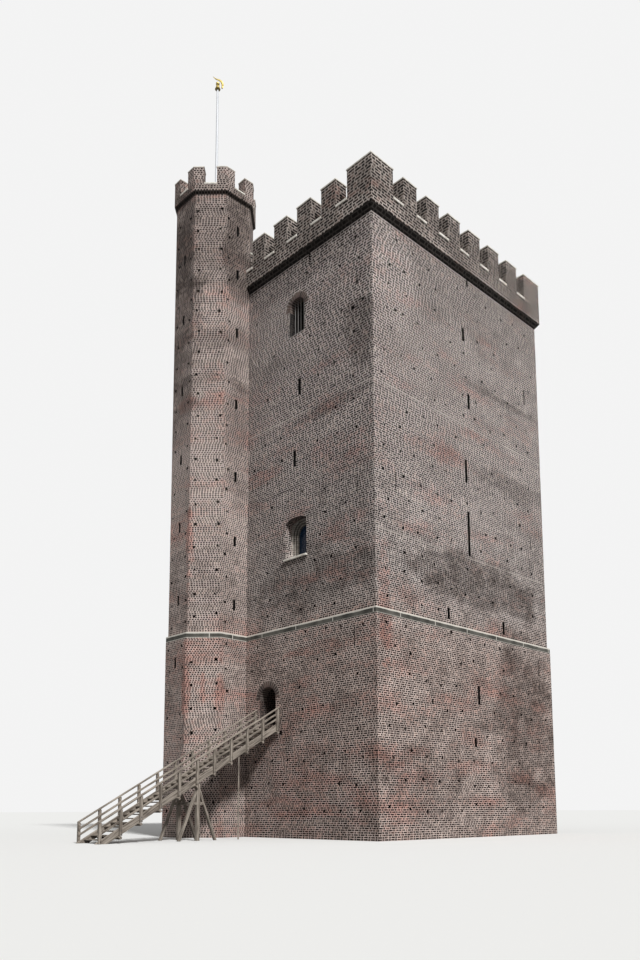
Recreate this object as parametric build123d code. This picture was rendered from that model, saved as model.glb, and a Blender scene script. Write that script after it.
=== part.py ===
from build123d import *
import math
import os

# A square brick keep with an octagonal stair turret, a timber stair up to its raised door and
# a gilded vane on the turret's flagpole. It is a model at half the real keep's size, in
# millimetres. The origin is on the ground under the middle of the keep, +Z is up, -Y is the
# front and -X is the side with the door.

# Keep: its plan, its walls and its levels above the lowest ground
KEEP_WIDTH = 7600.0
PLINTH_OUT = 60.0
WALL_SHARE = 0.3
INNER_STEP = 220.0
DOOR_SILL = 2920.0
LEDGE_HEIGHT = 5305.0
STRING_HEIGHT = 157.0
WALL_HEIGHT = 15676.0

# Floors: slab thickness, and the height of the walking face of those above the ledge
SLAB = 150.0
CELLAR_SLAB = 200.0
SECOND_FLOOR = 6840.0
THIRD_FLOOR = 9171.0
FOURTH_FLOOR = 11299.0
TOP_FLOOR = 13072.0

# Battlements of the keep
CORBEL_HEIGHT = 162.0
CORBEL_OUT = 116.0
PARAPET_WALL = 400.0
BREAST_HEIGHT = 498.0
MERLON_HEIGHT = 825.0
MERLON_WIDTH = 544.0
CORNER_MERLON = 841.0
MERLONS_PER_SIDE = 6
COPING = 40.0
COPING_OUT = 18.0

# Stair turret: its place is a share of the keep's width from the middle of the wall
TURRET_SIDE = 902.0
TURRET_SIDES = 8
TURRET_WALL = 450.0
TURRET_PLACE = 0.2775
TURRET_HEIGHT = 18412.0
TURRET_CORBEL_HEIGHT = 76.0
TURRET_CORBEL_OUT = 71.0
TURRET_PARAPET_WALL = 300.0
TURRET_BREAST_HEIGHT = 214.0
TURRET_MERLON_HEIGHT = 546.0
TURRET_CRENEL = 373.0
TURRET_COPING = 30.0
TURRET_COPING_OUT = 12.0
TURRET_SLAB = 100.0

# Door: a round-headed passage through the wall
DOOR_Y = 40.0
DOOR_WIDTH = 633.0
DOOR_HEIGHT = 1027.0
ARCH_RING = 167.0
ARCH_RING_DEPTH = 230.0

# Lower window: a wide recess with a flat arch, and a round-headed light set back in it
RECESS_PLACE = -0.131
RECESS_WIDTH = 816.0
RECESS_SILL = 7296.0
RECESS_SIDE_HEIGHT = 993.0
RECESS_RISE = 96.0
RECESS_DEPTH = 230.0
SURROUND_DEPTH = 160.0
LIGHT_WIDTH = 540.0
LIGHT_HEIGHT = 960.0
GLASS = 12.0
SILL_SLAB = 50.0
SILL_OUT = 60.0
SILL_SIDE = 30.0

# Upper window: a round-headed opening
WINDOW_PLACE = -0.1367
WINDOW_WIDTH = 583.0
WINDOW_SILL = 13548.0
WINDOW_HEIGHT = 1044.0

# Slits: each is its place along the wall as a share of the keep's width, its foot and its height
SLIT_WIDTH = 100.0
FRONT_SLITS = [
    (-0.005, 2326.0, 238.0),
    (0.022, 3450.0, 512.0),
    (-0.131, 5599.0, 304.0),
    (0.2, 5553.0, 365.0),
    (0.0, 7494.0, 1246.0),
    (-0.007, 9546.0, 673.0),
    (0.02, 11755.0, 420.0),
    (-0.003, 13700.0, 395.0),
]
ENTRANCE_SLITS = [(-0.125, 9789.0, 451.0), (-0.15, 11755.0, 471.0)]
TURRET_SLIT_WIDTH = 80.0
TURRET_SLIT_HEIGHT = 290.0
TURRET_FRONT_SLITS = [6141.0, 7946.0, 9815.0, 11967.0, 14136.0, 15947.0, 17322.0]
TURRET_OUTER_SLITS = [4535.0, 6273.0, 8357.0, 10330.0, 12375.0, 14555.0, 16430.0]

# Timber stair
STAIR_RISERS = 32
STAIR_SLOPE = 0.57
STAIR_WIDTH = 914.0
STRINGER_DEPTH = 150.0
STRINGER_THICK = 40.0
STRINGER_DROP = 146.0
TREAD_THICK = 26.0
TREAD_LAP = 22.0
POST = 60.0
POST_SPACING = 503.0
FIRST_POST = 46.0
STAIR_POSTS = 11
RAIL_HEIGHT = 459.0
RAIL_WIDTH = 72.0
RAIL_THICK = 32.0
MID_RAIL = 55.0
MID_RAIL_THICK = 22.0
BEAM = 60.0
BEAM_END = 45.0
TRESTLE_OUT = 2490.0
TRESTLE_LEG = 84.0
TRESTLE_BRACE = 62.0
TRESTLE_SPREAD = 520.0
TRESTLE_TIE = 870.0
PROP_OUT = 1260.0
PROP_RADIUS = 18.0

# Flagpole and vane
POLE_TOP = 22846.0
POLE_BASE_RADIUS = 48.0
POLE_TOP_RADIUS = 31.0
POLE_FOOT_RADIUS = 90.0
POLE_FOOT_HEIGHT = 60.0
SPINDLE_RADIUS = 14.0
SPINDLE_LENGTH = 110.0
SPINDLE_CLEARANCE = 0.06
VANE_GAP = 6.0
CAP_RADIUS = 86.0
CAP_NECK_RADIUS = 58.0
CAP_HEIGHT = 140.0
BALL_RADIUS = 60.0
BALL_LIFT = 52.0
STREAMER_THICK = 12.0
STREAMER_WIDTH = 62.0
STREAMER_HEADING = -44.0

# Sizes that follow from these
KEEP_HALF = KEEP_WIDTH / 2
PLINTH_HALF = KEEP_HALF + PLINTH_OUT
LOWER_WALL = WALL_SHARE * KEEP_WIDTH
UPPER_WALL = LOWER_WALL - PLINTH_OUT - INNER_STEP
LOWER_ROOM = PLINTH_HALF - LOWER_WALL
UPPER_ROOM = KEEP_HALF - UPPER_WALL
FLOOR_LEVELS = [LEDGE_HEIGHT + SLAB, SECOND_FLOOR, THIRD_FLOOR, FOURTH_FLOOR, TOP_FLOOR]
PARAPET_OUTER = KEEP_HALF + CORBEL_OUT
PARAPET_INNER = PARAPET_OUTER - PARAPET_WALL
CORBEL_TOP = WALL_HEIGHT + CORBEL_HEIGHT
BREAST_TOP = CORBEL_TOP + BREAST_HEIGHT
MERLON_TOP = BREAST_TOP + MERLON_HEIGHT
TURRET_FACE = TURRET_SIDE / 2 / math.tan(math.pi / TURRET_SIDES)
TURRET_X = -KEEP_HALF - TURRET_SIDE / 2
TURRET_Y = TURRET_PLACE * KEEP_WIDTH
TURRET_ROOM = TURRET_FACE - TURRET_WALL
TURRET_OUTER = TURRET_FACE + TURRET_CORBEL_OUT
TURRET_INNER = TURRET_OUTER - TURRET_PARAPET_WALL
TURRET_EDGE = TURRET_HEIGHT + TURRET_CORBEL_HEIGHT
TURRET_BREAST_TOP = TURRET_EDGE + TURRET_BREAST_HEIGHT
TURRET_MERLON_TOP = TURRET_BREAST_TOP + TURRET_MERLON_HEIGHT
DOOR_SPRING = DOOR_SILL + DOOR_HEIGHT - DOOR_WIDTH / 2
RECESS_Y = RECESS_PLACE * KEEP_WIDTH
WINDOW_Y = WINDOW_PLACE * KEEP_WIDTH
WINDOW_SPRING = WINDOW_SILL + WINDOW_HEIGHT - WINDOW_WIDTH / 2
CUT = 50.0


def block(x0, x1, y0, y1, z0, z1):
    """A box between two corners."""
    middle = ((x0 + x1) / 2, (y0 + y1) / 2, (z0 + z1) / 2)
    return Pos(*middle) * Box(abs(x1 - x0), abs(y1 - y0), abs(z1 - z0))


def flat_ring_points(face, sides):
    """The corners of a regular polygon whose flat sides are this far from its centre."""
    radius = face / math.cos(math.pi / sides)
    corners = []
    for i in range(sides):
        angle = 2 * math.pi * (i + 0.5) / sides
        corners.append((radius * math.cos(angle), radius * math.sin(angle)))
    return corners


def prism(points, z0, z1):
    """A straight block of this outline between two levels."""
    outline = make_face(Polyline(*points, close=True))
    return Pos(0, 0, z0) * extrude(outline, amount=z1 - z0)


def tower(face, sides, z0, z1):
    """A straight tower with this many flat sides, about its own centre."""
    return prism(flat_ring_points(face, sides), z0, z1)


def ring(outer, inner, sides, z0, z1):
    """A hollow tower between two levels."""
    return tower(outer, sides, z0, z1) - tower(inner, sides, z0 - CUT, z1 + CUT)


def flare(face, out, sides, z0, z1):
    """A corbel course that slopes outwards as it rises."""
    low = make_face(Polyline(*flat_ring_points(face, sides), close=True))
    high = make_face(Polyline(*flat_ring_points(face + out, sides), close=True))
    return loft([Pos(0, 0, z0) * low, Pos(0, 0, z1) * high])


def wedge(side, sides, reach, z0, z1):
    """The slice that holds one side of a tower; side 0 faces +X and they turn towards +Y."""
    start = 2 * math.pi * (side - 0.5) / sides
    end = 2 * math.pi * (side + 0.5) / sides
    points = [(0, 0)]
    points.append((reach * math.cos(start), reach * math.sin(start)))
    points.append((reach * math.cos(end), reach * math.sin(end)))
    return prism(points, z0, z1)


def at_turret(shape):
    """Move a piece from the origin to the turret's centre."""
    return Pos(TURRET_X, TURRET_Y, 0) * shape


def archway(width, height, z0, length):
    """A round-headed passage along X, centred on the Y axis."""
    radius = width / 2
    spring = z0 + height - radius
    body = block(0, length, -radius, radius, z0, spring)
    head = Pos(length / 2, 0, spring) * Rot(0, 90, 0) * Cylinder(radius, length)
    return body + head


def arch_ring(width, thick, depth, spring):
    """The half ring of bricks over a round-headed opening, centred on the Y axis."""
    outer = Rot(0, 90, 0) * Cylinder(width / 2 + thick, depth)
    inner = Rot(0, 90, 0) * Cylinder(width / 2, depth + CUT)
    reach = width + thick
    upper = block(-depth, depth, -reach, reach, 0, reach)
    return Pos(depth / 2, 0, spring) * ((outer - inner) & upper)


def slit_cut(share, foot, height, face, depth):
    """A slit through the front wall, from outside its face to inside the room."""
    left = share * KEEP_WIDTH - SLIT_WIDTH / 2
    right = left + SLIT_WIDTH
    return block(left, right, -face - CUT, -face + depth + CUT, foot, foot + height)


def save(name, shape):
    """Write one piece to its own file."""
    os.makedirs("parts", exist_ok=True)
    export_step(shape, os.path.join("parts", name + ".step"))


# Lower walls: the front and rear ones run the full width, the other two stand between them.
# The same slits light the front, far and rear walls.
lower_slits = [s for s in FRONT_SLITS if s[1] < LEDGE_HEIGHT]
upper_slits = [s for s in FRONT_SLITS if s[1] > LEDGE_HEIGHT]


def full_wall(half, room, slits, z0, z1):
    """The front wall of a stage, the full width of the keep."""
    wall = block(-half, half, -half, -room, z0, z1)
    for share, foot, height in slits:
        wall -= slit_cut(share, foot, height, half, half - room)
    return wall


def between_wall(half, room, slits, z0, z1):
    """A wall that stands between the front and rear walls, made in the front position."""
    wall = block(-room, room, -half, -room, z0, z1)
    for share, foot, height in slits:
        wall -= slit_cut(share, foot, height, half, half - room)
    return wall


front_low = full_wall(PLINTH_HALF, LOWER_ROOM, lower_slits, 0, LEDGE_HEIGHT)
save("front_wall_lower", front_low)
save("rear_wall_lower", Rot(0, 0, 180) * front_low)
far_low = between_wall(PLINTH_HALF, LOWER_ROOM, lower_slits, 0, LEDGE_HEIGHT)
save("far_wall_lower", Rot(0, 0, 90) * far_low)

# Lower entrance wall: a base up to the sill, a pier each side of the door, and the masonry
# over it with the arch cut through
door_front = DOOR_Y - DOOR_WIDTH / 2
door_rear = DOOR_Y + DOOR_WIDTH / 2
save("entrance_wall_base", block(-PLINTH_HALF, -LOWER_ROOM, -LOWER_ROOM, LOWER_ROOM, 0, DOOR_SILL))
door_piers = block(-PLINTH_HALF, -LOWER_ROOM, -LOWER_ROOM, door_front, DOOR_SILL, DOOR_SPRING)
door_piers += block(-PLINTH_HALF, -LOWER_ROOM, door_rear, LOWER_ROOM, DOOR_SILL, DOOR_SPRING)
save("door_piers", door_piers)
over_door = block(-PLINTH_HALF, -LOWER_ROOM, -LOWER_ROOM, LOWER_ROOM, DOOR_SPRING, LEDGE_HEIGHT)
door_ring = arch_ring(DOOR_WIDTH, ARCH_RING, ARCH_RING_DEPTH, DOOR_SPRING)
door_ring = Pos(-PLINTH_HALF, DOOR_Y, 0) * door_ring
door_way = archway(DOOR_WIDTH, DOOR_HEIGHT, DOOR_SILL, LOWER_WALL + 2 * CUT)
over_door -= Pos(-PLINTH_HALF - CUT, DOOR_Y, 0) * door_way
over_door -= door_ring
save("entrance_wall_over_door", over_door)

# Upper walls, with the two windows of the entrance side
front_high = full_wall(KEEP_HALF, UPPER_ROOM, upper_slits, LEDGE_HEIGHT, WALL_HEIGHT)
save("front_wall_upper", front_high)
save("rear_wall_upper", Rot(0, 0, 180) * front_high)
far_high = between_wall(KEEP_HALF, UPPER_ROOM, upper_slits, LEDGE_HEIGHT, WALL_HEIGHT)
save("far_wall_upper", Rot(0, 0, 90) * far_high)

# The entrance side is the front turned by a quarter, so its places along the wall change sign
turned = [(-share, foot, height) for share, foot, height in ENTRANCE_SLITS]
entrance_high = between_wall(KEEP_HALF, UPPER_ROOM, turned, LEDGE_HEIGHT, WALL_HEIGHT)
entrance_high = Rot(0, 0, -90) * entrance_high

recess_top = RECESS_SILL + RECESS_SIDE_HEIGHT
recess_left = (RECESS_Y - RECESS_WIDTH / 2, recess_top)
recess_right = (RECESS_Y + RECESS_WIDTH / 2, recess_top)
recess_crown = (RECESS_Y, recess_top + RECESS_RISE)
recess_outline = [
    Line((recess_left[0], RECESS_SILL), (recess_right[0], RECESS_SILL)),
    Line((recess_right[0], RECESS_SILL), recess_right),
    ThreePointArc(recess_right, recess_crown, recess_left),
    Line(recess_left, (recess_left[0], RECESS_SILL)),
]


def entrance_cut(outline, x0, x1):
    """An outline drawn in Y and Z, cut along X between two places."""
    face = Plane.YZ * make_face(outline)
    return Pos(x0, 0, 0) * extrude(face, amount=x1 - x0)


surround_x = -KEEP_HALF + RECESS_DEPTH
glass_x = surround_x + SURROUND_DEPTH
light = Pos(0, RECESS_Y, 0) * archway(LIGHT_WIDTH, LIGHT_HEIGHT, RECESS_SILL, UPPER_WALL)
entrance_high -= entrance_cut(recess_outline, -KEEP_HALF - CUT, glass_x)
entrance_high -= Pos(surround_x, 0, 0) * light
surround = entrance_cut(recess_outline, surround_x, glass_x)
surround -= Pos(surround_x - CUT, 0, 0) * light
save("window_surround", surround)
pane = Pos(0, RECESS_Y, 0) * archway(LIGHT_WIDTH, LIGHT_HEIGHT, RECESS_SILL, GLASS)
save("window_glass", Pos(glass_x, 0, 0) * pane)

window_way = archway(WINDOW_WIDTH, WINDOW_HEIGHT, WINDOW_SILL, UPPER_WALL + 2 * CUT)
entrance_high -= Pos(-KEEP_HALF - CUT, WINDOW_Y, 0) * window_way
window_ring = arch_ring(WINDOW_WIDTH, ARCH_RING, ARCH_RING_DEPTH, WINDOW_SPRING)
window_ring = Pos(-KEEP_HALF, WINDOW_Y, 0) * window_ring
entrance_high -= window_ring
save("brick_arches", door_ring + window_ring)

# The lower window's sill slab is let into the wall and stands a little proud of it
sill_half = RECESS_WIDTH / 2 + SILL_SIDE
sill_z = RECESS_SILL - SILL_SLAB
sill = block(-KEEP_HALF - SILL_OUT, surround_x, RECESS_Y - sill_half, RECESS_Y + sill_half,
             sill_z, RECESS_SILL)
entrance_high -= sill
save("entrance_wall_upper", entrance_high)
save("window_sill", sill)

# Floors: the cellar's lies on the ground, the next is level with the door's sill, one lies on
# the ledge where the walls become thinner, and the others are level with the rows of slits
cellar = block(-LOWER_ROOM, LOWER_ROOM, -LOWER_ROOM, LOWER_ROOM, 0, CELLAR_SLAB)
save("cellar_floor", cellar)
entry = block(-LOWER_ROOM, LOWER_ROOM, -LOWER_ROOM, LOWER_ROOM, DOOR_SILL - SLAB, DOOR_SILL)
save("entrance_floor", entry)
upper_floors = Part()
for level in FLOOR_LEVELS:
    upper_floors += block(-UPPER_ROOM, UPPER_ROOM, -UPPER_ROOM, UPPER_ROOM, level - SLAB, level)
save("upper_floors", upper_floors)
turret_space = at_turret(tower(TURRET_FACE, TURRET_SIDES, WALL_HEIGHT - CUT, MERLON_TOP + CUT))
roof = tower(PARAPET_INNER, 4, WALL_HEIGHT, WALL_HEIGHT + SLAB) - turret_space
save("roof_deck", roof)

# String course: a stone band round keep and turret, standing on the ledge of the lower walls
string_top = LEDGE_HEIGHT + STRING_HEIGHT
band = tower(PLINTH_HALF, 4, LEDGE_HEIGHT, string_top)
band += at_turret(tower(TURRET_FACE + PLINTH_OUT, TURRET_SIDES, LEDGE_HEIGHT, string_top))
band -= tower(KEEP_HALF, 4, LEDGE_HEIGHT - CUT, string_top + CUT)
band -= at_turret(tower(TURRET_FACE, TURRET_SIDES, LEDGE_HEIGHT - CUT, string_top + CUT))
save("string_course", band)

# Battlements: a corbel course and a breast wall on each side, mitred at the corners
breast = flare(KEEP_HALF, CORBEL_OUT, 4, WALL_HEIGHT, CORBEL_TOP)
breast += tower(PARAPET_OUTER, 4, CORBEL_TOP, BREAST_TOP)
breast -= tower(PARAPET_INNER, 4, WALL_HEIGHT - CUT, BREAST_TOP + CUT)
breast -= turret_space
sides = {"far_parapet": 0, "rear_parapet": 1, "entrance_parapet": 2, "front_parapet": 3}
for name, side in sides.items():
    save(name, breast & wedge(side, 4, 2 * KEEP_WIDTH, WALL_HEIGHT, BREAST_TOP))

# Merlons: what is left of the top of the parapet once the crenels are cut through it
free = 2 * PARAPET_OUTER - 2 * CORNER_MERLON - MERLONS_PER_SIDE * MERLON_WIDTH
CRENEL = free / (MERLONS_PER_SIDE + 1)


def crenel_cuts(width, inner, outer, z0, z1):
    """All the crenels of the four sides, as blocks of this width."""
    cuts = Part()
    for turn in (0, 90, 180, 270):
        for i in range(MERLONS_PER_SIDE + 1):
            start = -PARAPET_OUTER + CORNER_MERLON + i * (MERLON_WIDTH + CRENEL)
            middle = start + CRENEL / 2
            cut = block(middle - width / 2, middle + width / 2, -outer, -inner, z0, z1)
            cuts += Rot(0, 0, turn) * cut
    return cuts


coping_z = MERLON_TOP - COPING
merlons = ring(PARAPET_OUTER, PARAPET_INNER, 4, BREAST_TOP, coping_z)
merlons -= crenel_cuts(CRENEL, PARAPET_INNER - CUT, PARAPET_OUTER + CUT, BREAST_TOP - CUT, MERLON_TOP)
merlons -= turret_space
save("keep_merlons", merlons)

# Copings of the keep: a slab on each merlon and one in each crenel
caps = ring(PARAPET_OUTER + COPING_OUT, PARAPET_INNER - COPING_OUT, 4, coping_z, MERLON_TOP)
slot = CRENEL - 2 * COPING_OUT
caps -= crenel_cuts(slot, PARAPET_INNER - CUT, PARAPET_OUTER + CUT, coping_z - CUT, MERLON_TOP + CUT)
sills = crenel_cuts(CRENEL, PARAPET_INNER, PARAPET_OUTER + COPING_OUT, BREAST_TOP, BREAST_TOP + COPING)
sills -= turret_space
caps -= turret_space
save("crenel_sills", sills)

# Turret walls: five sides stand out from the entrance wall, one node each, and the three on
# the roof's side start from the top of the keep's wall
lower_shell = ring(TURRET_FACE + PLINTH_OUT, TURRET_ROOM, TURRET_SIDES, 0, LEDGE_HEIGHT)
upper_shell = ring(TURRET_FACE, TURRET_ROOM, TURRET_SIDES, LEDGE_HEIGHT, TURRET_HEIGHT)


def turret_side(side):
    """One side of the turret, over its whole height."""
    part = wedge(side, TURRET_SIDES, 4 * TURRET_SIDE, 0, TURRET_HEIGHT)
    return at_turret(lower_shell & part), at_turret(upper_shell & part)


def joined_to_wall(side, direction):
    """A side that meets the keep: below the roof it runs on to the face of the wall."""
    low, high = turret_side(side)
    foot_y = TURRET_Y + direction * (TURRET_FACE + PLINTH_OUT)
    face_y = TURRET_Y + direction * TURRET_FACE
    room_y = TURRET_Y + direction * TURRET_ROOM
    low += block(TURRET_X, -PLINTH_HALF, foot_y, room_y, 0, LEDGE_HEIGHT)
    low -= block(-PLINTH_HALF, 0, -KEEP_HALF, KEEP_HALF, -CUT, LEDGE_HEIGHT + CUT)
    high += block(TURRET_X, -KEEP_HALF, face_y, room_y, LEDGE_HEIGHT, WALL_HEIGHT)
    return low + high


def turret_slit(turn, foot):
    """A slit through one of the turret's sides, turned from the side that faces -X."""
    half = TURRET_SLIT_WIDTH / 2
    cut = block(-2 * TURRET_FACE, 0, -half, half, foot, foot + TURRET_SLIT_HEIGHT)
    return at_turret(Rot(0, 0, turn) * cut)


turret_front = joined_to_wall(6, -1)
turret_rear = joined_to_wall(2, 1)
for foot in TURRET_FRONT_SLITS:
    turret_front -= turret_slit(90, foot)
    turret_rear -= turret_slit(-90, foot)
save("turret_wall_front", turret_front)
save("turret_wall_rear", turret_rear)
outer_low, outer_high = turret_side(4)
turret_outer = outer_low + outer_high
for foot in TURRET_OUTER_SLITS:
    turret_outer -= turret_slit(0, foot)
save("turret_wall_outer", turret_outer)
for name, side in {"turret_wall_front_corner": 5, "turret_wall_rear_corner": 3}.items():
    low, high = turret_side(side)
    save(name, low + high)
head = ring(TURRET_FACE, TURRET_ROOM, TURRET_SIDES, WALL_HEIGHT, TURRET_HEIGHT)
roof_side = Part()
for side in (7, 0, 1):
    roof_side += head & wedge(side, TURRET_SIDES, 4 * TURRET_SIDE, WALL_HEIGHT, TURRET_HEIGHT)
save("turret_wall_roof_side", at_turret(roof_side))

# Turret head: its deck, its parapet and its merlons, which wrap round the eight corners
deck_top = TURRET_HEIGHT + TURRET_SLAB
save("turret_roof", at_turret(tower(TURRET_INNER, TURRET_SIDES, TURRET_HEIGHT, deck_top)))
turret_breast = flare(TURRET_FACE, TURRET_CORBEL_OUT, TURRET_SIDES, TURRET_HEIGHT, TURRET_EDGE)
turret_breast += tower(TURRET_OUTER, TURRET_SIDES, TURRET_EDGE, TURRET_BREAST_TOP)
turret_breast -= tower(TURRET_INNER, TURRET_SIDES, TURRET_HEIGHT - CUT, TURRET_BREAST_TOP + CUT)
save("turret_parapet", at_turret(turret_breast))


def turret_crenels(width, inner, outer, z0, z1):
    """The turret's crenels, one in the middle of each side."""
    cuts = Part()
    for i in range(TURRET_SIDES):
        cut = block(inner, outer, -width / 2, width / 2, z0, z1)
        cuts += Rot(0, 0, i * 360 / TURRET_SIDES) * cut
    return cuts


turret_coping_z = TURRET_MERLON_TOP - TURRET_COPING
turret_merlons = ring(TURRET_OUTER, TURRET_INNER, TURRET_SIDES, TURRET_BREAST_TOP, turret_coping_z)
turret_merlons -= turret_crenels(TURRET_CRENEL, TURRET_INNER - CUT, TURRET_OUTER + CUT,
                                 TURRET_BREAST_TOP - CUT, TURRET_MERLON_TOP)
save("turret_merlons", at_turret(turret_merlons))
turret_caps = ring(TURRET_OUTER + TURRET_COPING_OUT, TURRET_INNER - TURRET_COPING_OUT,
                   TURRET_SIDES, turret_coping_z, TURRET_MERLON_TOP)
turret_slot = TURRET_CRENEL - 2 * TURRET_COPING_OUT
turret_caps -= turret_crenels(turret_slot, TURRET_INNER - CUT, TURRET_OUTER + CUT,
                              turret_coping_z - CUT, TURRET_MERLON_TOP + CUT)
save("merlon_copings", caps + at_turret(turret_caps))

# Flagpole: a tapered pole on a round foot on the turret's deck, with the vane's spindle on top
foot_top = deck_top + POLE_FOOT_HEIGHT
pole_foot = Pos(0, 0, deck_top + POLE_FOOT_HEIGHT / 2) * Cylinder(POLE_FOOT_RADIUS, POLE_FOOT_HEIGHT)
save("flagpole_foot", at_turret(pole_foot))
pole_length = POLE_TOP - foot_top
pole = Pos(0, 0, foot_top + pole_length / 2) * Cone(POLE_BASE_RADIUS, POLE_TOP_RADIUS, pole_length)
pole += Pos(0, 0, POLE_TOP + SPINDLE_LENGTH / 2) * Cylinder(SPINDLE_RADIUS, SPINDLE_LENGTH)
save("flagpole", at_turret(pole))

# Vane: a gilded cap and ball that turn on the spindle, and a curling streamer fixed to them
cap_z = POLE_TOP + VANE_GAP
cap_top = cap_z + CAP_HEIGHT
bore_radius = SPINDLE_RADIUS + SPINDLE_CLEARANCE
bore_length = SPINDLE_LENGTH - VANE_GAP + SPINDLE_CLEARANCE
cap = Pos(0, 0, cap_z + CAP_HEIGHT / 2) * Cone(CAP_RADIUS, CAP_NECK_RADIUS, CAP_HEIGHT)
cap += Pos(0, 0, cap_top + BALL_LIFT) * Sphere(BALL_RADIUS)
bore = Pos(0, 0, cap_z + bore_length / 2) * Cylinder(bore_radius, bore_length)
save("vane_cap", at_turret(cap - bore))

# The streamer's centre line, from its heel beside the cap to its tip, out from the axis and up
# from the cap's foot
STREAMER_LINE = [(134, 42), (150, 108), (148, 180), (118, 262), (52, 322), (-40, 356), (-104, 404)]
STREAMER_TIP = (-152, 452)
arm_z = STREAMER_LINE[0][1]


def beside(line, width, hand):
    """The points on one side of the streamer's centre line, at half its width."""
    points = []
    for i in range(len(line) - 1):
        dx = line[i + 1][0] - line[i][0]
        dz = line[i + 1][1] - line[i][1]
        length = math.hypot(dx, dz)
        offset = hand * width / 2 / length
        points.append((line[i][0] - dz * offset, line[i][1] + dx * offset))
    return points


line = STREAMER_LINE + [STREAMER_TIP]
near_edge = Spline(*beside(line, STREAMER_WIDTH, 1), STREAMER_TIP)
far_edge = Spline(*beside(line, STREAMER_WIDTH, -1), STREAMER_TIP)
heel = Line(near_edge @ 0, far_edge @ 0)
streamer_face = Plane.XZ * make_face([near_edge, far_edge, heel])
streamer = Pos(0, STREAMER_THICK / 2, cap_z) * extrude(streamer_face, amount=STREAMER_THICK)
half_arm = STREAMER_THICK / 2
streamer += block(0, STREAMER_LINE[0][0], -half_arm, half_arm, cap_z + arm_z - half_arm,
                  cap_z + arm_z + half_arm)
streamer = Rot(0, 0, STREAMER_HEADING) * streamer - cap
save("vane_streamer", at_turret(streamer))

# Timber stair: everything is placed by how far out from the wall it is
wall_x = -PLINTH_HALF
rise = DOOR_SILL / STAIR_RISERS
going = rise / STAIR_SLOPE
flight = DOOR_SILL / STAIR_SLOPE
pitch = math.degrees(math.atan(STAIR_SLOPE))
stringer_rise = STRINGER_DEPTH / math.cos(math.radians(pitch))
line_z = DOOR_SILL - STRINGER_DROP
post_y = STAIR_WIDTH / 2
string_out = post_y - POST / 2
string_in = string_out - STRINGER_THICK


def under_stair(out):
    """The height of the stringers' underside at this distance out from the wall."""
    return line_z - STAIR_SLOPE * out


def sloping(out0, out1, z0, depth, y0, y1):
    """A board that follows the stair: z0 is its underside at the wall."""
    points = [(wall_x - out0, z0 - STAIR_SLOPE * out0), (wall_x - out1, z0 - STAIR_SLOPE * out1)]
    points.append((wall_x - out1, z0 - STAIR_SLOPE * out1 + depth))
    points.append((wall_x - out0, z0 - STAIR_SLOPE * out0 + depth))
    face = Plane.XZ * make_face(Polyline(*points, close=True))
    return Pos(0, y1, 0) * extrude(face, amount=y1 - y0)


below_ground = block(wall_x - 2 * flight, wall_x, -KEEP_HALF, KEEP_HALF, -flight, 0)
stringers = Part()
for low_y, high_y in ((-string_out, -string_in), (string_in, string_out)):
    board = sloping(0, flight + stringer_rise / STAIR_SLOPE, line_z, stringer_rise, low_y, high_y)
    stringers += Pos(0, DOOR_Y, 0) * board
save("stair_stringers", stringers - below_ground)

treads = Part()
for i in range(1, STAIR_RISERS):
    top = DOOR_SILL - i * rise
    nose = wall_x - i * going - TREAD_LAP
    treads += block(nose, nose + going + TREAD_LAP, DOOR_Y - string_in, DOOR_Y + string_in,
                    top - TREAD_THICK, top)
save("stair_treads", treads)

# Railings: posts against the stringers' outer faces, a handrail on top and two rails between
rail_z = DOOR_SILL + RAIL_HEIGHT - RAIL_THICK
stair_end = FIRST_POST + (STAIR_POSTS - 1) * POST_SPACING + POST / 2


def railing(side):
    """The railing on one side of the stair; side is -1 for the front and 1 for the rear."""
    middle = side * post_y
    fence = sloping(0, stair_end, rail_z, RAIL_THICK, middle - RAIL_WIDTH / 2, middle + RAIL_WIDTH / 2)
    inner = middle - side * POST / 2
    edge = inner - side * MID_RAIL_THICK
    clear = rail_z - line_z - stringer_rise
    for part in (1, 2):
        low = line_z + stringer_rise + clear * part / 3 - MID_RAIL / 2
        fence += sloping(0, stair_end, low, MID_RAIL, min(inner, edge), max(inner, edge))
    for i in range(STAIR_POSTS):
        out = FIRST_POST + i * POST_SPACING
        foot = max(0.0, under_stair(out))
        top = rail_z - STAIR_SLOPE * (out + POST / 2) + RAIL_THICK / 2
        fence += block(wall_x - out - POST / 2, wall_x - out + POST / 2, middle - POST / 2,
                       middle + POST / 2, foot, top)
    return Pos(0, DOOR_Y, 0) * (fence - below_ground)


save("near_railing", railing(-1))
save("far_railing", railing(1))

# Cross-beams under the stringers, one at each post that stands clear of the ground
beams = Part()
beam_half = post_y + BEAM_END
for i in range(STAIR_POSTS):
    out = FIRST_POST + BEAM / 2 + i * POST_SPACING
    if under_stair(out) > 2 * BEAM:
        beam = Box(BEAM, 2 * beam_half, BEAM)
        lift = Pos(wall_x - out, DOOR_Y, under_stair(out)) * Rot(0, -pitch, 0) * Pos(0, 0, -BEAM / 2)
        beams += lift * beam
save("stair_cross_beams", beams)

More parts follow.
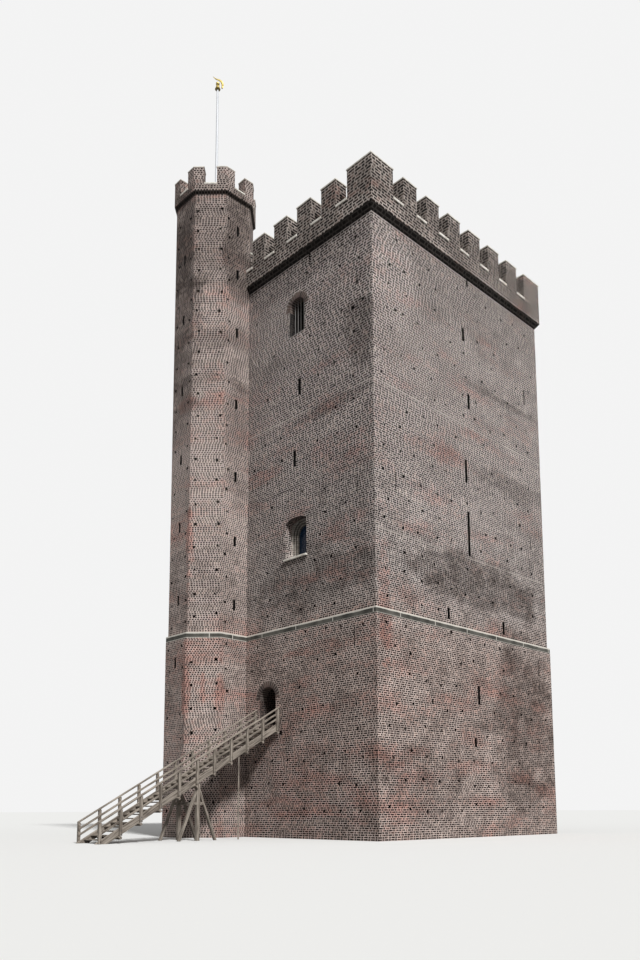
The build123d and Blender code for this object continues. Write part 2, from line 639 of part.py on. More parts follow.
# Trestle: a braced leg under each stringer, tied across, with a thin prop nearer the wall
leg_top = under_stair(TRESTLE_OUT + TRESTLE_LEG / 2)
trestle_x = wall_x - TRESTLE_OUT
leg_y = string_out - TRESTLE_LEG / 2
trestle = Part()
for side in (-1, 1):
    y0 = side * leg_y - TRESTLE_LEG / 2
    y1 = side * leg_y + TRESTLE_LEG / 2
    leg = block(trestle_x - TRESTLE_LEG / 2, trestle_x + TRESTLE_LEG / 2, y0, y1, 0, leg_top)
    brace_y = side * leg_y - TRESTLE_BRACE / 2
    for way in (-1, 1):
        top_x = trestle_x + way * TRESTLE_LEG / 2
        foot_x = trestle_x + way * TRESTLE_SPREAD
        points = [(top_x - way * TRESTLE_BRACE, leg_top - TRESTLE_LEG), (top_x, leg_top - TRESTLE_LEG)]
        points.append((foot_x + way * TRESTLE_BRACE / 2, 0))
        points.append((foot_x - way * TRESTLE_BRACE / 2, 0))
        face = Plane.XZ * make_face(Polyline(*points, close=True))
        leg += Pos(0, brace_y + TRESTLE_BRACE, 0) * extrude(face, amount=TRESTLE_BRACE)
    tie_reach = TRESTLE_SPREAD * (1 - TRESTLE_TIE / leg_top)
    leg += block(trestle_x - tie_reach, trestle_x + tie_reach, brace_y, brace_y + TRESTLE_BRACE,
                 TRESTLE_TIE - TRESTLE_BRACE / 2, TRESTLE_TIE + TRESTLE_BRACE / 2)
    trestle += leg
trestle += block(trestle_x - TRESTLE_BRACE / 2, trestle_x + TRESTLE_BRACE / 2, -leg_y, leg_y,
                 leg_top - TRESTLE_LEG, leg_top)
trestle += block(trestle_x - TRESTLE_BRACE / 2, trestle_x + TRESTLE_BRACE / 2, -leg_y, leg_y,
                 TRESTLE_TIE - TRESTLE_BRACE / 2, TRESTLE_TIE + TRESTLE_BRACE / 2)
prop_top = under_stair(PROP_OUT + PROP_RADIUS)
prop = Pos(wall_x - PROP_OUT, DOOR_Y - leg_y, prop_top / 2) * Cylinder(PROP_RADIUS, prop_top)
save("stair_trestle", Pos(0, DOOR_Y, 0) * trestle + prop)
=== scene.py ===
import math
import random
import bmesh
import bpy
from mathutils import Matrix, Vector


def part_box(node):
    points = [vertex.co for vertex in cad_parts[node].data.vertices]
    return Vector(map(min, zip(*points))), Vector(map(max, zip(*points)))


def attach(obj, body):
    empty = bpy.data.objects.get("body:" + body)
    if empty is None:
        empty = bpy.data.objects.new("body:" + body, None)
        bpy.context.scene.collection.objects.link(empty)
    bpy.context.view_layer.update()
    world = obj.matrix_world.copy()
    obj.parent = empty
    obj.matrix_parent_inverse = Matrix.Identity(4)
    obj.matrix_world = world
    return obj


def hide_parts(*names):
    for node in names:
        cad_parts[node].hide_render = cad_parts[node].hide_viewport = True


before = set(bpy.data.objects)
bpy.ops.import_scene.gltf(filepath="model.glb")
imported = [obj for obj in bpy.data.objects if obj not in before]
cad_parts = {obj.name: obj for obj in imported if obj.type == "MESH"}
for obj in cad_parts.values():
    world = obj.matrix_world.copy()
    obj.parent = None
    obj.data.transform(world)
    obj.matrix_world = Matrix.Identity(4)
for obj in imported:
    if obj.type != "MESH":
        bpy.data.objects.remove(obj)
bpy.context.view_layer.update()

# Brick: hand-made, matt and rough, grey-brown to red-brown, laid a long and a short face by turns in
# pale lime mortar. Sizes are metres on the model, half of the real brick's 280 x 130 x 90 mm. Its
# 20 mm joints are too fine to show, so they are drawn wider, most of all the upright ones.
COURSE = 0.0522
STRETCHER = 0.147
HEADER = 0.0735
JOINT = 0.0165
UPRIGHT_JOINT = 0.0245
WANDER = Vector((0.03, 0.03, 0.012))
LEDGE = 5.305
GROWS_FROM = 7.0


def linear(code):
    """A colour written as sRGB hex, in the linear values that a shader takes."""
    parts = [int(code[i:i + 2], 16) / 255 for i in (1, 3, 5)]
    return [v / 12.92 if v <= 0.04045 else ((v + 0.055) / 1.055) ** 2.4 for v in parts] + [1.0]


# Kinds of node that come again and again, and the settings of one that multiplies two colours
MATH = "ShaderNodeMath"
VECTOR_MATH = "ShaderNodeVectorMath"
MAP_RANGE = "ShaderNodeMapRange"
MIX = "ShaderNodeMix"
SPLIT = "ShaderNodeSeparateXYZ"
NOISE = "ShaderNodeTexNoise"
MULTIPLIED = {"data_type": "RGBA", "blend_type": "MULTIPLY"}


def add(tree, kind, inputs=None, output=0, **settings):
    """Adds one node with its settings and its inputs, and returns one of its outputs."""
    node = tree.nodes.new(kind)
    for name, value in settings.items():
        setattr(node, name, value)
    for name, value in (inputs or {}).items():
        if isinstance(value, bpy.types.NodeSocket):
            tree.links.new(value, node.inputs[name])
        else:
            node.inputs[name].default_value = value
    return node.outputs[output] if node.outputs else node


def new_material(name, roughness=0.5):
    """An empty Principled material, with its tree, its shader node and its Object coordinates."""
    made = bpy.data.materials.new(name)
    made.use_nodes = True
    tree = made.node_tree
    shader = tree.nodes["Principled BSDF"]
    shader.inputs["Roughness"].default_value = roughness
    return made, tree, shader, add(tree, "ShaderNodeTexCoord", output="Object")


def patch(tree, place, rough, middle, half, change):
    """How much a ragged patch of the wall, given by its middle and half sizes, changes a value."""
    away = add(tree, VECTOR_MATH, {0: place, 1: middle}, operation="SUBTRACT")
    away = add(tree, VECTOR_MATH, {0: away, 1: half}, operation="DIVIDE")
    away = add(tree, VECTOR_MATH, {0: away}, "Value", operation="LENGTH")
    away = add(tree, MATH, {0: rough, 1: 2.0, 2: away}, operation="MULTIPLY_ADD")
    return add(tree, MAP_RANGE, {0: away, 1: 1.7, 2: 2.2, 3: change, 4: 0.0},
               interpolation_type="SMOOTHSTEP")


def brick_material(name, long_face, growth, tones, ends, zones, reds, shade_bands, levels=(),
                   corners=None):
    """Brickwork on any upright face, with a long and a short face by turns. Growth is how much
    larger it is drawn for each metre up. Tones are the dark, common, reddish and pale bricks and
    the mortar. Ends are how light the two faces by turns are: bricks were burnt darker at the end.
    Zones are darker or paler areas: middle, half sizes, and how much is added to the light. Reds
    are areas of redder brick, given in the same way. Shade bands are painted near black from one
    height to another: the corbels' dark bricks, with painted shade on their sloping undersides.
    Levels are single courses in other mortar, on the sides across x, y or both. Corners is the
    middle line of a turret, whose arrises were repaired with red brick."""
    dark, common, reddish, pale, mortar = [linear(code) for code in tones]
    bay_length = long_face + HEADER
    made, tree, shader, place = new_material(name, roughness=0.9)
    shader.inputs["Specular IOR Level"].default_value = 0.2
    normal = add(tree, "ShaderNodeNewGeometry", output="True Normal")

    # Hand-made bricks: the lines of the bond wander by a few millimetres
    wander = add(tree, NOISE, {"Vector": place, "Scale": 9.0, "Detail": 1.0}, "Color")
    wander = add(tree, VECTOR_MATH, {0: wander, 1: WANDER, 2: WANDER / -2}, operation="MULTIPLY_ADD")
    moved = add(tree, VECTOR_MATH, {0: place, 1: wander}, operation="ADD")
    level = add(tree, VECTOR_MATH, {0: (0, 0, 1), 1: normal}, operation="CROSS_PRODUCT")
    level = add(tree, VECTOR_MATH, {0: level}, operation="NORMALIZE")
    across = add(tree, VECTOR_MATH, {0: moved, 1: level}, "Value", operation="DOT_PRODUCT")
    x, y, z = add(tree, SPLIT, {0: moved}).node.outputs
    facing = add(tree, SPLIT, {0: normal}, 2)
    facing = add(tree, MATH, {0: facing}, operation="ABSOLUTE")
    flat = add(tree, MATH, {0: facing, 1: 0.9}, operation="GREATER_THAN")
    across = add(tree, MIX, {0: flat, 2: across, 3: x})
    height = add(tree, MIX, {0: flat, 2: z, 3: y})

    # Courses. Too fine to show so far up, the bricks are drawn larger little by little from the
    # lower window on: 1.4 times at the keep's corbels and 1.15 times at the turret's
    above = add(tree, MATH, {0: height, 1: GROWS_FROM}, operation="SUBTRACT")
    above = add(tree, MATH, {0: above, 1: 0.0}, operation="MAXIMUM")
    above = add(tree, MATH, {0: above, 1: growth, 2: 1.0}, operation="MULTIPLY_ADD")
    above = add(tree, MATH, {0: above, 1: math.e}, operation="LOGARITHM")
    height = add(tree, MATH, {0: height, 1: GROWS_FROM}, operation="MINIMUM")
    height = add(tree, MATH, {0: above, 1: 1.0 / growth, 2: height}, operation="MULTIPLY_ADD")
    course = add(tree, MATH, {0: height, 1: COURSE}, operation="DIVIDE")
    course = add(tree, MATH, {0: course}, operation="FLOOR")
    rise = add(tree, MATH, {0: height, 1: COURSE}, operation="FLOORED_MODULO")
    grown = add(tree, MATH, {0: course, 1: COURSE * growth, 2: -GROWS_FROM * growth},
                operation="MULTIPLY_ADD")
    grown = add(tree, MATH, {0: grown, 1: 0.0}, operation="MAXIMUM")
    grown = add(tree, MATH, {0: grown}, operation="EXPONENT")
    across = add(tree, MATH, {0: across, 1: grown}, operation="DIVIDE")

    # Each course starts where it happens to, and has the two bricks of a bay by turns
    slip = add(tree, "ShaderNodeTexWhiteNoise", {"W": course}, "Value", noise_dimensions="1D")
    slip = add(tree, MATH, {0: slip, 1: 7 * STRETCHER, 2: across}, operation="MULTIPLY_ADD")
    run = add(tree, MATH, {0: slip, 1: bay_length}, operation="FLOORED_MODULO")
    start = add(tree, MATH, {0: run, 1: long_face}, operation="SNAP")
    brick = add(tree, MATH, {0: start, 1: long_face}, operation="DIVIDE")
    left = add(tree, MATH, {0: run, 1: start}, operation="SUBTRACT")
    end = add(tree, MATH, {0: start, 1: long_face}, operation="ADD")
    end = add(tree, MATH, {0: end, 1: bay_length}, operation="MINIMUM")
    right = add(tree, MATH, {0: end, 1: run}, operation="SUBTRACT")
    over = add(tree, MATH, {0: COURSE, 1: rise}, operation="SUBTRACT")
    edge = add(tree, MATH, {0: left, 1: right}, operation="MINIMUM")
    edge = add(tree, MATH, {0: edge, 1: JOINT / UPRIGHT_JOINT}, operation="MULTIPLY")
    edge = add(tree, MATH, {0: edge, 1: over}, operation="MINIMUM")
    edge = add(tree, MATH, {0: edge, 1: rise}, operation="MINIMUM")
    chips = add(tree, NOISE, {"Vector": place, "Scale": 45.0, "Detail": 2.0}, "Fac")
    chips = add(tree, MATH, {0: chips, 1: 0.008, 2: -0.004}, operation="MULTIPLY_ADD")
    edge = add(tree, MATH, {0: edge, 1: chips}, operation="ADD")
    joint = add(tree, MAP_RANGE, {0: edge, 1: JOINT * 0.35, 2: JOINT * 0.65, 3: 1.0, 4: 0.0},
                interpolation_type="SMOOTHSTEP")

    # Every brick has its own colour, burnt nearly black to pale, and a long face has two. Bricks of
    # one load lie along a course, so a course is lighter or darker for a metre at a time
    which = add(tree, MATH, {0: slip, 1: HEADER}, operation="DIVIDE")
    which = add(tree, MATH, {0: which}, operation="FLOOR")
    which = add(tree, "ShaderNodeCombineXYZ", {0: which, 1: course})
    draw = add(tree, "ShaderNodeTexWhiteNoise", {"Vector": which}, noise_dimensions="2D").node
    second = add(tree, "ShaderNodeSeparateColor", {0: draw.outputs["Color"]}, 0)
    ramp = add(tree, "ShaderNodeValToRGB", {0: draw.outputs["Value"]}).node
    ramp.color_ramp.elements[0].color = dark
    ramp.color_ramp.elements[1].color = pale
    for stop, tone in ((0.2, dark), (0.32, common), (0.6, common), (0.78, reddish), (0.92, pale)):
        ramp.color_ramp.elements.new(stop).color = tone
    batch = add(tree, MATH, {0: slip, 1: 14 * HEADER}, operation="DIVIDE")
    batch = add(tree, MATH, {0: batch}, operation="FLOOR")
    batch = add(tree, "ShaderNodeCombineXYZ", {0: batch, 1: course, 2: 3.0})
    batch = add(tree, "ShaderNodeTexWhiteNoise", {"Vector": batch}, "Value", noise_dimensions="3D")
    batch = add(tree, MAP_RANGE, {0: batch, 3: 0.9, 4: 1.1})
    burnt = add(tree, MAP_RANGE, {0: brick, 3: ends[0], 4: ends[1]})
    batch = add(tree, MATH, {0: batch, 1: burnt}, operation="MULTIPLY")
    mottle = add(tree, NOISE, {"Vector": place, "Scale": 70.0, "Detail": 3.0}, "Fac")
    mottle = add(tree, MAP_RANGE, {0: mottle, 1: 0.3, 2: 0.7, 3: 0.85, 4: 1.15})
    face = add(tree, MIX, {0: 1.0, 6: ramp.outputs[0], 7: mottle}, 2, **MULTIPLIED)

    # Weather: the lime is washed clean in ragged patches and grimy between them, most of all in
    # the darker zones, where the bricks are darker too. High up the rain has washed all of it
    rough = add(tree, "ShaderNodeMapping", {"Vector": place, "Scale": (0.8, 0.8, 1.3)})
    rough = add(tree, NOISE, {"Vector": rough, "Scale": 1.0, "Detail": 6.0, "Roughness": 0.62}, "Fac")
    light = add(tree, MAP_RANGE, {0: rough, 1: 0.3, 2: 0.7, 3: -0.05, 4: 0.05})
    for middle, half, change in zones:
        change = patch(tree, place, rough, middle, half, change)
        light = add(tree, MATH, {0: light, 1: change}, operation="ADD")
    dirt = add(tree, NOISE, {"Vector": place, "Scale": 1.9, "Detail": 9.0, "Roughness": 0.68}, "Fac")
    dirt = add(tree, MAP_RANGE, {0: dirt, 1: 0.36, 2: 0.6, 3: 0.35, 4: 0.75})
    upright = add(tree, SPLIT, {0: place}, 2)
    rain = add(tree, MAP_RANGE, {0: upright, 1: 7.0, 2: 10.5, 4: 0.8})
    dirt = add(tree, MIX, {0: rain, 2: dirt, 3: 0.73})
    dirt = add(tree, MATH, {0: light, 1: 1.3, 2: dirt}, operation="MULTIPLY_ADD")
    dirt = add(tree, MATH, {0: second, 1: 0.3, 2: dirt}, operation="MULTIPLY_ADD", use_clamp=True)
    lime = add(tree, MIX, {0: dirt, 6: linear("#64564f"), 7: mortar}, 2, data_type="RGBA")
    light = add(tree, MATH, {0: light, 1: 0.8, 2: 1.0}, operation="MULTIPLY_ADD")
    batch = add(tree, MATH, {0: batch, 1: light}, operation="MULTIPLY")
    colour = add(tree, MIX, {0: joint, 6: face, 7: lime}, 2, data_type="RGBA")
    colour = add(tree, MIX, {0: 1.0, 6: colour, 7: batch}, 2, **MULTIPLIED)

    # Level runs of redder brick where the wall was repaired, more of them low down
    runs = add(tree, "ShaderNodeMapping", {"Vector": place, "Scale": (0.6, 0.6, 2.2)})
    runs = add(tree, NOISE, {"Vector": runs, "Scale": 0.8, "Detail": 6.0}, "Fac")
    for start, end, change in ((LEDGE + 0.5, LEDGE - 1.5, 0.035), (10.5, 12.5, -0.04)):
        change = add(tree, MAP_RANGE, {0: upright, 1: start, 2: end, 4: change})
        runs = add(tree, MATH, {0: runs, 1: change}, operation="ADD")
    if corners:
        off = add(tree, VECTOR_MATH, {0: place, 1: corners}, operation="SUBTRACT")
        off = add(tree, VECTOR_MATH, {0: off, 1: level}, "Value", operation="DOT_PRODUCT")
        off = add(tree, MATH, {0: off}, operation="ABSOLUTE")
        off = add(tree, MAP_RANGE, {0: off, 1: 0.33, 2: 0.45, 4: 0.06})
        runs = add(tree, MATH, {0: runs, 1: off}, operation="ADD")
    for middle, half, change in reds:
        change = patch(tree, place, rough, middle, half, change)
        runs = add(tree, MATH, {0: runs, 1: change}, operation="ADD")
    runs = add(tree, MATH, {0: second, 1: 0.16, 2: runs}, operation="MULTIPLY_ADD")
    runs = add(tree, MAP_RANGE, {0: runs, 1: 0.62, 2: 0.9, 4: 0.6})
    colour = add(tree, MIX, {0: runs, 6: colour, 7: linear("#f3b2a6")}, 2, **MULTIPLIED)

    # The brick is greyer above the ledge and a little redder below it, but for the turret's
    share = 0.2 if corners else 1.0
    below = add(tree, MAP_RANGE, {0: upright, 1: LEDGE + 1.2, 2: LEDGE - 0.6, 4: share})
    tint = add(tree, MIX, {0: below, 6: linear("#f3f1f2"), 7: linear("#fdf2ef")}, 2, data_type="RGBA")
    colour = add(tree, MIX, {0: 1.0, 6: colour, 7: tint}, 2, **MULTIPLIED)

    # Courses of other mortar where a floor's height of wall was levelled up
    sides = add(tree, VECTOR_MATH, {0: normal}, operation="ABSOLUTE")
    for line, tone, axes in levels:
        band = add(tree, MATH, {0: upright, 1: line, 2: 0.02}, operation="COMPARE")
        worn = add(tree, MAP_RANGE, {0: rough, 1: 0.4, 2: 0.6, 4: 0.9})
        band = add(tree, MATH, {0: band, 1: worn}, operation="MULTIPLY")
        side = add(tree, VECTOR_MATH, {0: sides, 1: axes}, "Value", operation="DOT_PRODUCT")
        band = add(tree, MATH, {0: band, 1: side}, operation="MULTIPLY")
        colour = add(tree, MIX, {0: band, 6: colour, 7: linear(tone)}, 2, data_type="RGBA")

    # Painted shade, near black: bands on the corbels, whose dark bricks lie in shade, and faces inside
    # the holes, passages and slit reveals, where little light comes back
    for foot, top, share in shade_bands:
        corbel_shade = add(tree, MATH, {0: upright, 1: (foot + top) / 2, 2: (top - foot) / 2},
                   operation="COMPARE")
        corbel_shade = add(tree, MATH, {0: corbel_shade, 1: share}, operation="MULTIPLY")
        colour = add(tree, MIX, {0: corbel_shade, 6: colour, 7: linear("#14110f")}, 2, data_type="RGBA")
    inside = add(tree, "ShaderNodeAttribute", output="Fac", attribute_name="inside")
    colour = add(tree, MIX, {0: inside, 6: colour, 7: linear("#0d0b0a")}, 2, data_type="RGBA")
    tree.links.new(colour, shader.inputs["Base Color"])

    # Raked joints and rough brick faces
    relief = add(tree, MAP_RANGE, {0: edge, 1: 0.0, 2: JOINT, 4: 1.0})
    relief = add(tree, MATH, {0: chips, 1: 40.0, 2: relief}, operation="MULTIPLY_ADD")
    bump = add(tree, "ShaderNodeBump", {"Strength": 0.45, "Distance": 0.005, "Height": relief})
    tree.links.new(bump, shader.inputs["Normal"])
    return made


wall_brick = brick_material(
    "lime_mortared_brick", STRETCHER, 0.045, ("#0a0807", "#28201d", "#3f2e29", "#81766d", "#e6ddd6"),
    (1.12, 0.68),
    [((0.8, -3.8, 14.9), (4.6, 0.4, 1.1), -0.08),
     ((-3.8, -3.3, 12.8), (0.08, 0.6, 1.1), -0.22), ((-3.8, -2.4, 11.0), (0.4, 1.4, 0.2), -0.14),
     ((-3.8, 0.6, 13.0), (0.4, 1.6, 0.25), -0.1), ((-3.8, -1.5, 6.6), (0.4, 2.4, 0.7), -0.12),
     ((-3.8, 0.0, 15.3), (0.4, 4.2, 0.45), -0.15), ((-3.8, 1.2, 9.5), (0.3, 0.16, 5.0), 0.2),
     ((0.6, -3.8, 6.8), (3.2, 0.4, 0.7), -0.2), ((2.2, -3.8, 10.0), (1.9, 0.4, 0.35), -0.14),
     ((1.9, -3.8, 12.55), (2.2, 0.4, 0.1), -0.18), ((-2.9, -3.8, 14.3), (0.9, 0.4, 1.2), 0.1),
     ((-0.5, -3.8, 8.3), (2.8, 0.4, 0.7), 0.08), ((2.4, -3.8, 3.2), (1.7, 0.4, 2.4), -0.2),
     ((-2.4, -3.8, 1.4), (1.8, 0.4, 0.9), -0.1)],
    [((-3.8, 0.4, 9.9), (0.3, 0.9, 0.2), 0.2), ((-3.8, -3.0, 6.6), (0.2, 0.8, 0.9), 0.1),
     ((-3.8, -1.8, 4.75), (0.3, 1.3, 0.16), 0.2), ((-3.8, -3.2, 4.4), (0.06, 0.35, 0.7), 0.2),
     ((-3.5, -3.8, 5.6), (0.25, 0.3, 1.7), 0.18), ((0.6, -3.8, 1.7), (2.4, 0.3, 0.35), 0.12),
     ((-1.2, -3.8, 10.2), (1.1, 0.3, 0.4), 0.04), ((-3.8, -1.0, 0.8), (0.3, 1.6, 0.3), 0.12)],
    [(15.66, 15.845, 0.9)],
    levels=((7.423, "#b3aaa3", (0, 1, 0)), (9.206, "#2b2522", (1, 0, 0)),
            (11.207, "#cfc6bf", (1, 1, 0))))


def put_in(name, data):
    """A new object of this data, in the scene."""
    made = bpy.data.objects.new(name, data)
    bpy.context.collection.objects.link(made)
    return made


def merged(node, name):
    """A copy of a CAD node's mesh with its loose triangles joined up, as an object of its own."""
    mesh = bpy.data.meshes.new(name)
    work = bmesh.new()
    work.from_mesh(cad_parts[node].data)
    bmesh.ops.remove_doubles(work, verts=work.verts, dist=1e-5)
    work.to_mesh(mesh)
    work.free()
    if "custom_normal" in mesh.attributes:
        mesh.attributes.remove(mesh.attributes["custom_normal"])
    mesh.shade_flat()
    return put_in(name, mesh)


def settled(thing, material=None):
    """Works an object's modifiers into a plain mesh, and gives it one material."""
    bpy.context.view_layer.update()
    graph = bpy.context.evaluated_depsgraph_get()
    mesh = bpy.data.meshes.new_from_object(thing.evaluated_get(graph))
    thing.modifiers.clear()
    thing.data = mesh
    if material:
        mesh.materials.clear()
        mesh.materials.append(material)
    return thing


def stands_for(thing, slot, *nodes, body="keep"):
    """A finished piece rides on its body in the place of these CAD nodes."""
    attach(thing, body)
    if nodes:
        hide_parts(*nodes)


# Scaffold holes: where the beams of the scaffold sat, left open in rows all over the walls, with a
# few blind slits, square holes in pairs and upright grooves. Geometry Nodes sets a box on each
# point, and the boxes are then cut out of the walls.
HOLE = 0.066
HOLE_DEPTH = 0.16
HOLE_ROW = 0.63
HOLE_STEP = 0.66
HOLE_SHARE = 0.85
HOLE_WANDER = 0.1
HOLE_CLEAR = 0.15
HOLE_UNEVEN = 0.2
GAP_CLEAR = 0.1
FIRST_ROW = 0.75
LAST_ROW = 15.4
ROW_ENDS = (-3.35, 3.45)
TURRET_FIRST_ROW = 0.7
TURRET_LAST_ROW = 18.2
KEEP_ROOF = 16.0
KEEP_FACE = 3.8
PLINTH = 0.06
PLINTH_FACE = KEEP_FACE + PLINTH
LEDGE_MIDDLE = LEDGE + 0.08
TURRET = Vector((-4.251, 2.109, 0.0))
TURRET_FACE = 1.0888
REVEAL = 0.06
TURRET_REVEAL = 0.03


def shape_tree(name, shape, **sizes):
    """A Geometry Nodes tree that sets one shape, a metre across, on every point of a mesh. The
    points' own attributes size and turn give each one its scale and its turn."""
    tree = bpy.data.node_groups.new(name, "GeometryNodeTree")
    tree.interface.new_socket("Geometry", in_out="OUTPUT", socket_type="NodeSocketGeometry")
    for label, kind in (("Geometry", "NodeSocketGeometry"), ("Unevenness", "NodeSocketFloat"),
                        ("Seed", "NodeSocketInt"), ("Material", "NodeSocketMaterial")):
        tree.interface.new_socket(label, in_out="INPUT", socket_type=kind)
    given = tree.nodes.new("NodeGroupInput").outputs
    size = add(tree, "GeometryNodeInputNamedAttribute", {"Name": "size"}, "Attribute",
               data_type="FLOAT_VECTOR")
    turn = add(tree, "GeometryNodeInputNamedAttribute", {"Name": "turn"}, "Attribute",
               data_type="FLOAT_VECTOR")
    least = add(tree, MATH, {0: 1.0, 1: given["Unevenness"]}, operation="SUBTRACT")
    most = add(tree, MATH, {0: 1.0, 1: given["Unevenness"]}, operation="ADD")
    change = add(tree, "FunctionNodeRandomValue",
                 {"Min": least, "Max": most, "Seed": given["Seed"]}, 1, data_type="FLOAT")
    scale = add(tree, VECTOR_MATH, {0: size, "Scale": change}, operation="SCALE")
    made = add(tree, shape, sizes, "Mesh")
    made = add(tree, "GeometryNodeInstanceOnPoints",
               {"Points": given["Geometry"], "Instance": made, "Rotation": turn, "Scale": scale})
    made = add(tree, "GeometryNodeRealizeInstances", {0: made})
    made = add(tree, "GeometryNodeSetMaterial", {"Geometry": made, "Material": given["Material"]})
    tree.links.new(made, tree.nodes.new("NodeGroupOutput").inputs[0])
    return tree


box_tree = shape_tree("boxes_on_points", "GeometryNodeMeshCube", Size=(1.0, 1.0, 1.0))


def run_tree(thing, tree, values):
    """Runs a Geometry Nodes tree on an object and keeps the result as its plain mesh."""
    modifier = thing.modifiers.new(tree.name, "NODES")
    modifier.node_group = tree
    for item in tree.interface.items_tree:
        if item.in_out == "INPUT" and item.name in values:
            modifier[item.identifier] = values[item.name]
    return settled(thing)


def shapes_at(name, tree, rows, material, unevenness=0.0, seed=1):
    """One mesh of like shapes. Each row is a place, a turn (about the upright, or about all three
    axes) and a size. Each shape also gets a tone of its own, which its material may read."""
    tones = random.Random(seed)
    mesh = bpy.data.meshes.new(name)
    mesh.from_pydata([row[0] for row in rows], [], [])
    turns = [row[1] if isinstance(row[1], tuple) else (0.0, 0.0, row[1]) for row in rows]
    columns = {"turn": turns, "size": [row[2] for row in rows]}
    for label, values in columns.items():
        column = mesh.attributes.new(label, "FLOAT_VECTOR", "POINT")
        column.data.foreach_set("vector", [v for value in values for v in value])
    tone = mesh.attributes.new("tone", "FLOAT", "POINT")
    tone.data.foreach_set("value", [tones.random() for _ in rows])
    return run_tree(put_in(name, mesh), tree,
                    {"Unevenness": unevenness, "Seed": seed, "Material": material})


def face_place(side, along, out, z):
    """A point on one side of the keep: side 0 is the front, and along runs to the right of it."""
    return Matrix.Rotation(side * math.pi / 2, 3, "Z") @ Vector((along, -out, z))


# Blind slits, square holes and grooves: side, place along it, foot, top, width and depth
grooves = [
    (0, 0.238, 15.489, 15.66, 0.07, 0.1), (0, 3.040, 12.920, 13.351, 0.05, 0.1),
    (0, -2.923, 13.31, 13.39, 0.1, 0.1), (0, -0.025, 13.31, 13.38, 0.09, 0.1),
    (0, -0.983, 5.2, 5.29, 0.09, 0.1), (0, -3.015, 8.477, 8.993, 0.03, 0.06),
    (0, -3.010, 4.590, 5.082, 0.03, 0.06), (0, 3.192, 4.084, 5.097, 0.03, 0.06),
    (0, 3.091, 8.345, 8.816, 0.03, 0.06), (3, 1.535, 15.352, 15.66, 0.06, 0.1),
    (3, 3.131, 13.28, 13.36, 0.1, 0.1), (3, 3.227, 8.355, 8.943, 0.03, 0.06),
    (3, 3.141, 4.600, 5.067, 0.03, 0.06), (3, 0.486, 2.65, 2.73, 0.08, 0.1),
]
holes = []
for side, along, foot, top, width, depth in grooves:
    for turned in ((3,) if side == 3 else (0, 1, 2)):
        out = PLINTH_FACE if foot < LEDGE else KEEP_FACE
        holes.append((face_place(turned, along, out, (foot + top) / 2), turned * math.pi / 2,
                      (width, 2 * depth, top - foot)))


def free_place(spot):
    """Whether a scaffold hole here stays clear of every hole and groove so far."""
    return all(abs(spot.z - other.z) >= height / 2 + HOLE_CLEAR
               or (spot - other).xy.length >= width / 2 + HOLE_CLEAR
               for other, _, (width, _, height) in holes)


# Each opening that a row of holes keeps clear of: left, right, foot and top, along a side
front_gaps = [(-0.3, 0.35, 2.2, 4.1), (-1.2, -0.8, 5.5, 6.0), (1.3, 1.7, 5.45, 6.0),
              (-0.2, 0.2, 7.4, 8.85), (-0.2, 0.2, 9.4, 10.3), (0.0, 0.3, 11.65, 12.3),
              (-0.2, 0.15, 13.6, 14.2)]
entrance_gaps = [(-0.6, 0.7, 2.4, 4.3), (0.45, 1.6, 7.1, 8.55), (0.6, 1.5, 13.4, 14.9),
                 (0.8, 1.1, 9.6, 10.4), (1.0, 1.3, 11.6, 12.4), (-3.45, -0.85, 0.0, 16.0)]
random_holes = random.Random(7)
for side in range(4):
    gaps = entrance_gaps if side == 3 else front_gaps
    z = FIRST_ROW
    while z < LAST_ROW:
        step = ROW_ENDS[0] + random_holes.uniform(-0.2, 0.2)
        while step < ROW_ENDS[1]:
            along = step + random_holes.uniform(-HOLE_WANDER, HOLE_WANDER)
            height = z + random_holes.uniform(-HOLE_WANDER, HOLE_WANDER)
            out = PLINTH_FACE if height < LEDGE else KEEP_FACE
            spot = face_place(side, along, out, height)
            clear = not any(left - GAP_CLEAR < along < right + GAP_CLEAR
                            and foot - GAP_CLEAR < height < top + GAP_CLEAR
                            for left, right, foot, top in gaps)
            clear = clear and random_holes.random() < HOLE_SHARE
            if clear and free_place(spot) and abs(height - LEDGE_MIDDLE) > HOLE_CLEAR:
                holes.append((spot, side * math.pi / 2, (HOLE, 2 * HOLE_DEPTH, HOLE)))
            step += HOLE_STEP
        z += HOLE_ROW

# The turret has two holes to a row on each of its sides, but for those inside the keep's wall
for side in range(8):
    turned = Matrix.Rotation(side * math.pi / 4, 3, "Z")
    z = TURRET_FIRST_ROW + 0.2 * (side % 2)
    while z < TURRET_LAST_ROW:
        for along in (-0.3, 0.32):
            along += random_holes.uniform(-HOLE_WANDER / 2, HOLE_WANDER / 2)
            height = z + random_holes.uniform(-HOLE_WANDER / 2, HOLE_WANDER / 2)
            out = TURRET_FACE + (PLINTH if height < LEDGE else 0.0)
            spot = TURRET + turned @ Vector((along, -out, height))
            hidden = side in (1, 2, 3) and height < KEEP_ROOF
            hidden = hidden or side in (0, 4) and along * (2 - side) > 0.2
            if not hidden and abs(height - LEDGE_MIDDLE) > HOLE_CLEAR:
                holes.append((spot, side * math.pi / 4, (HOLE, 2 * HOLE_DEPTH, HOLE)))
        z += HOLE_ROW

# The doorway, windows and slits of the entrance wall, which little light comes back from: place
# along it, height, size and how dark
passages = [(Vector((-KEEP_FACE, along, z)), -math.pi / 2, size, shade) for along, z, size, shade in (
    (0.04, 3.43, (0.66, 4.0, 1.1), 0.8), (-1.039, 14.07, (0.62, 3.6, 1.12), 0.9),
    (-0.996, 7.84, (0.62, 3.6, 1.12), 0.6), (-0.95, 10.015, (0.12, 3.6, 0.5), 1.0),
    (-1.14, 11.99, (0.12, 3.6, 0.5), 1.0))]


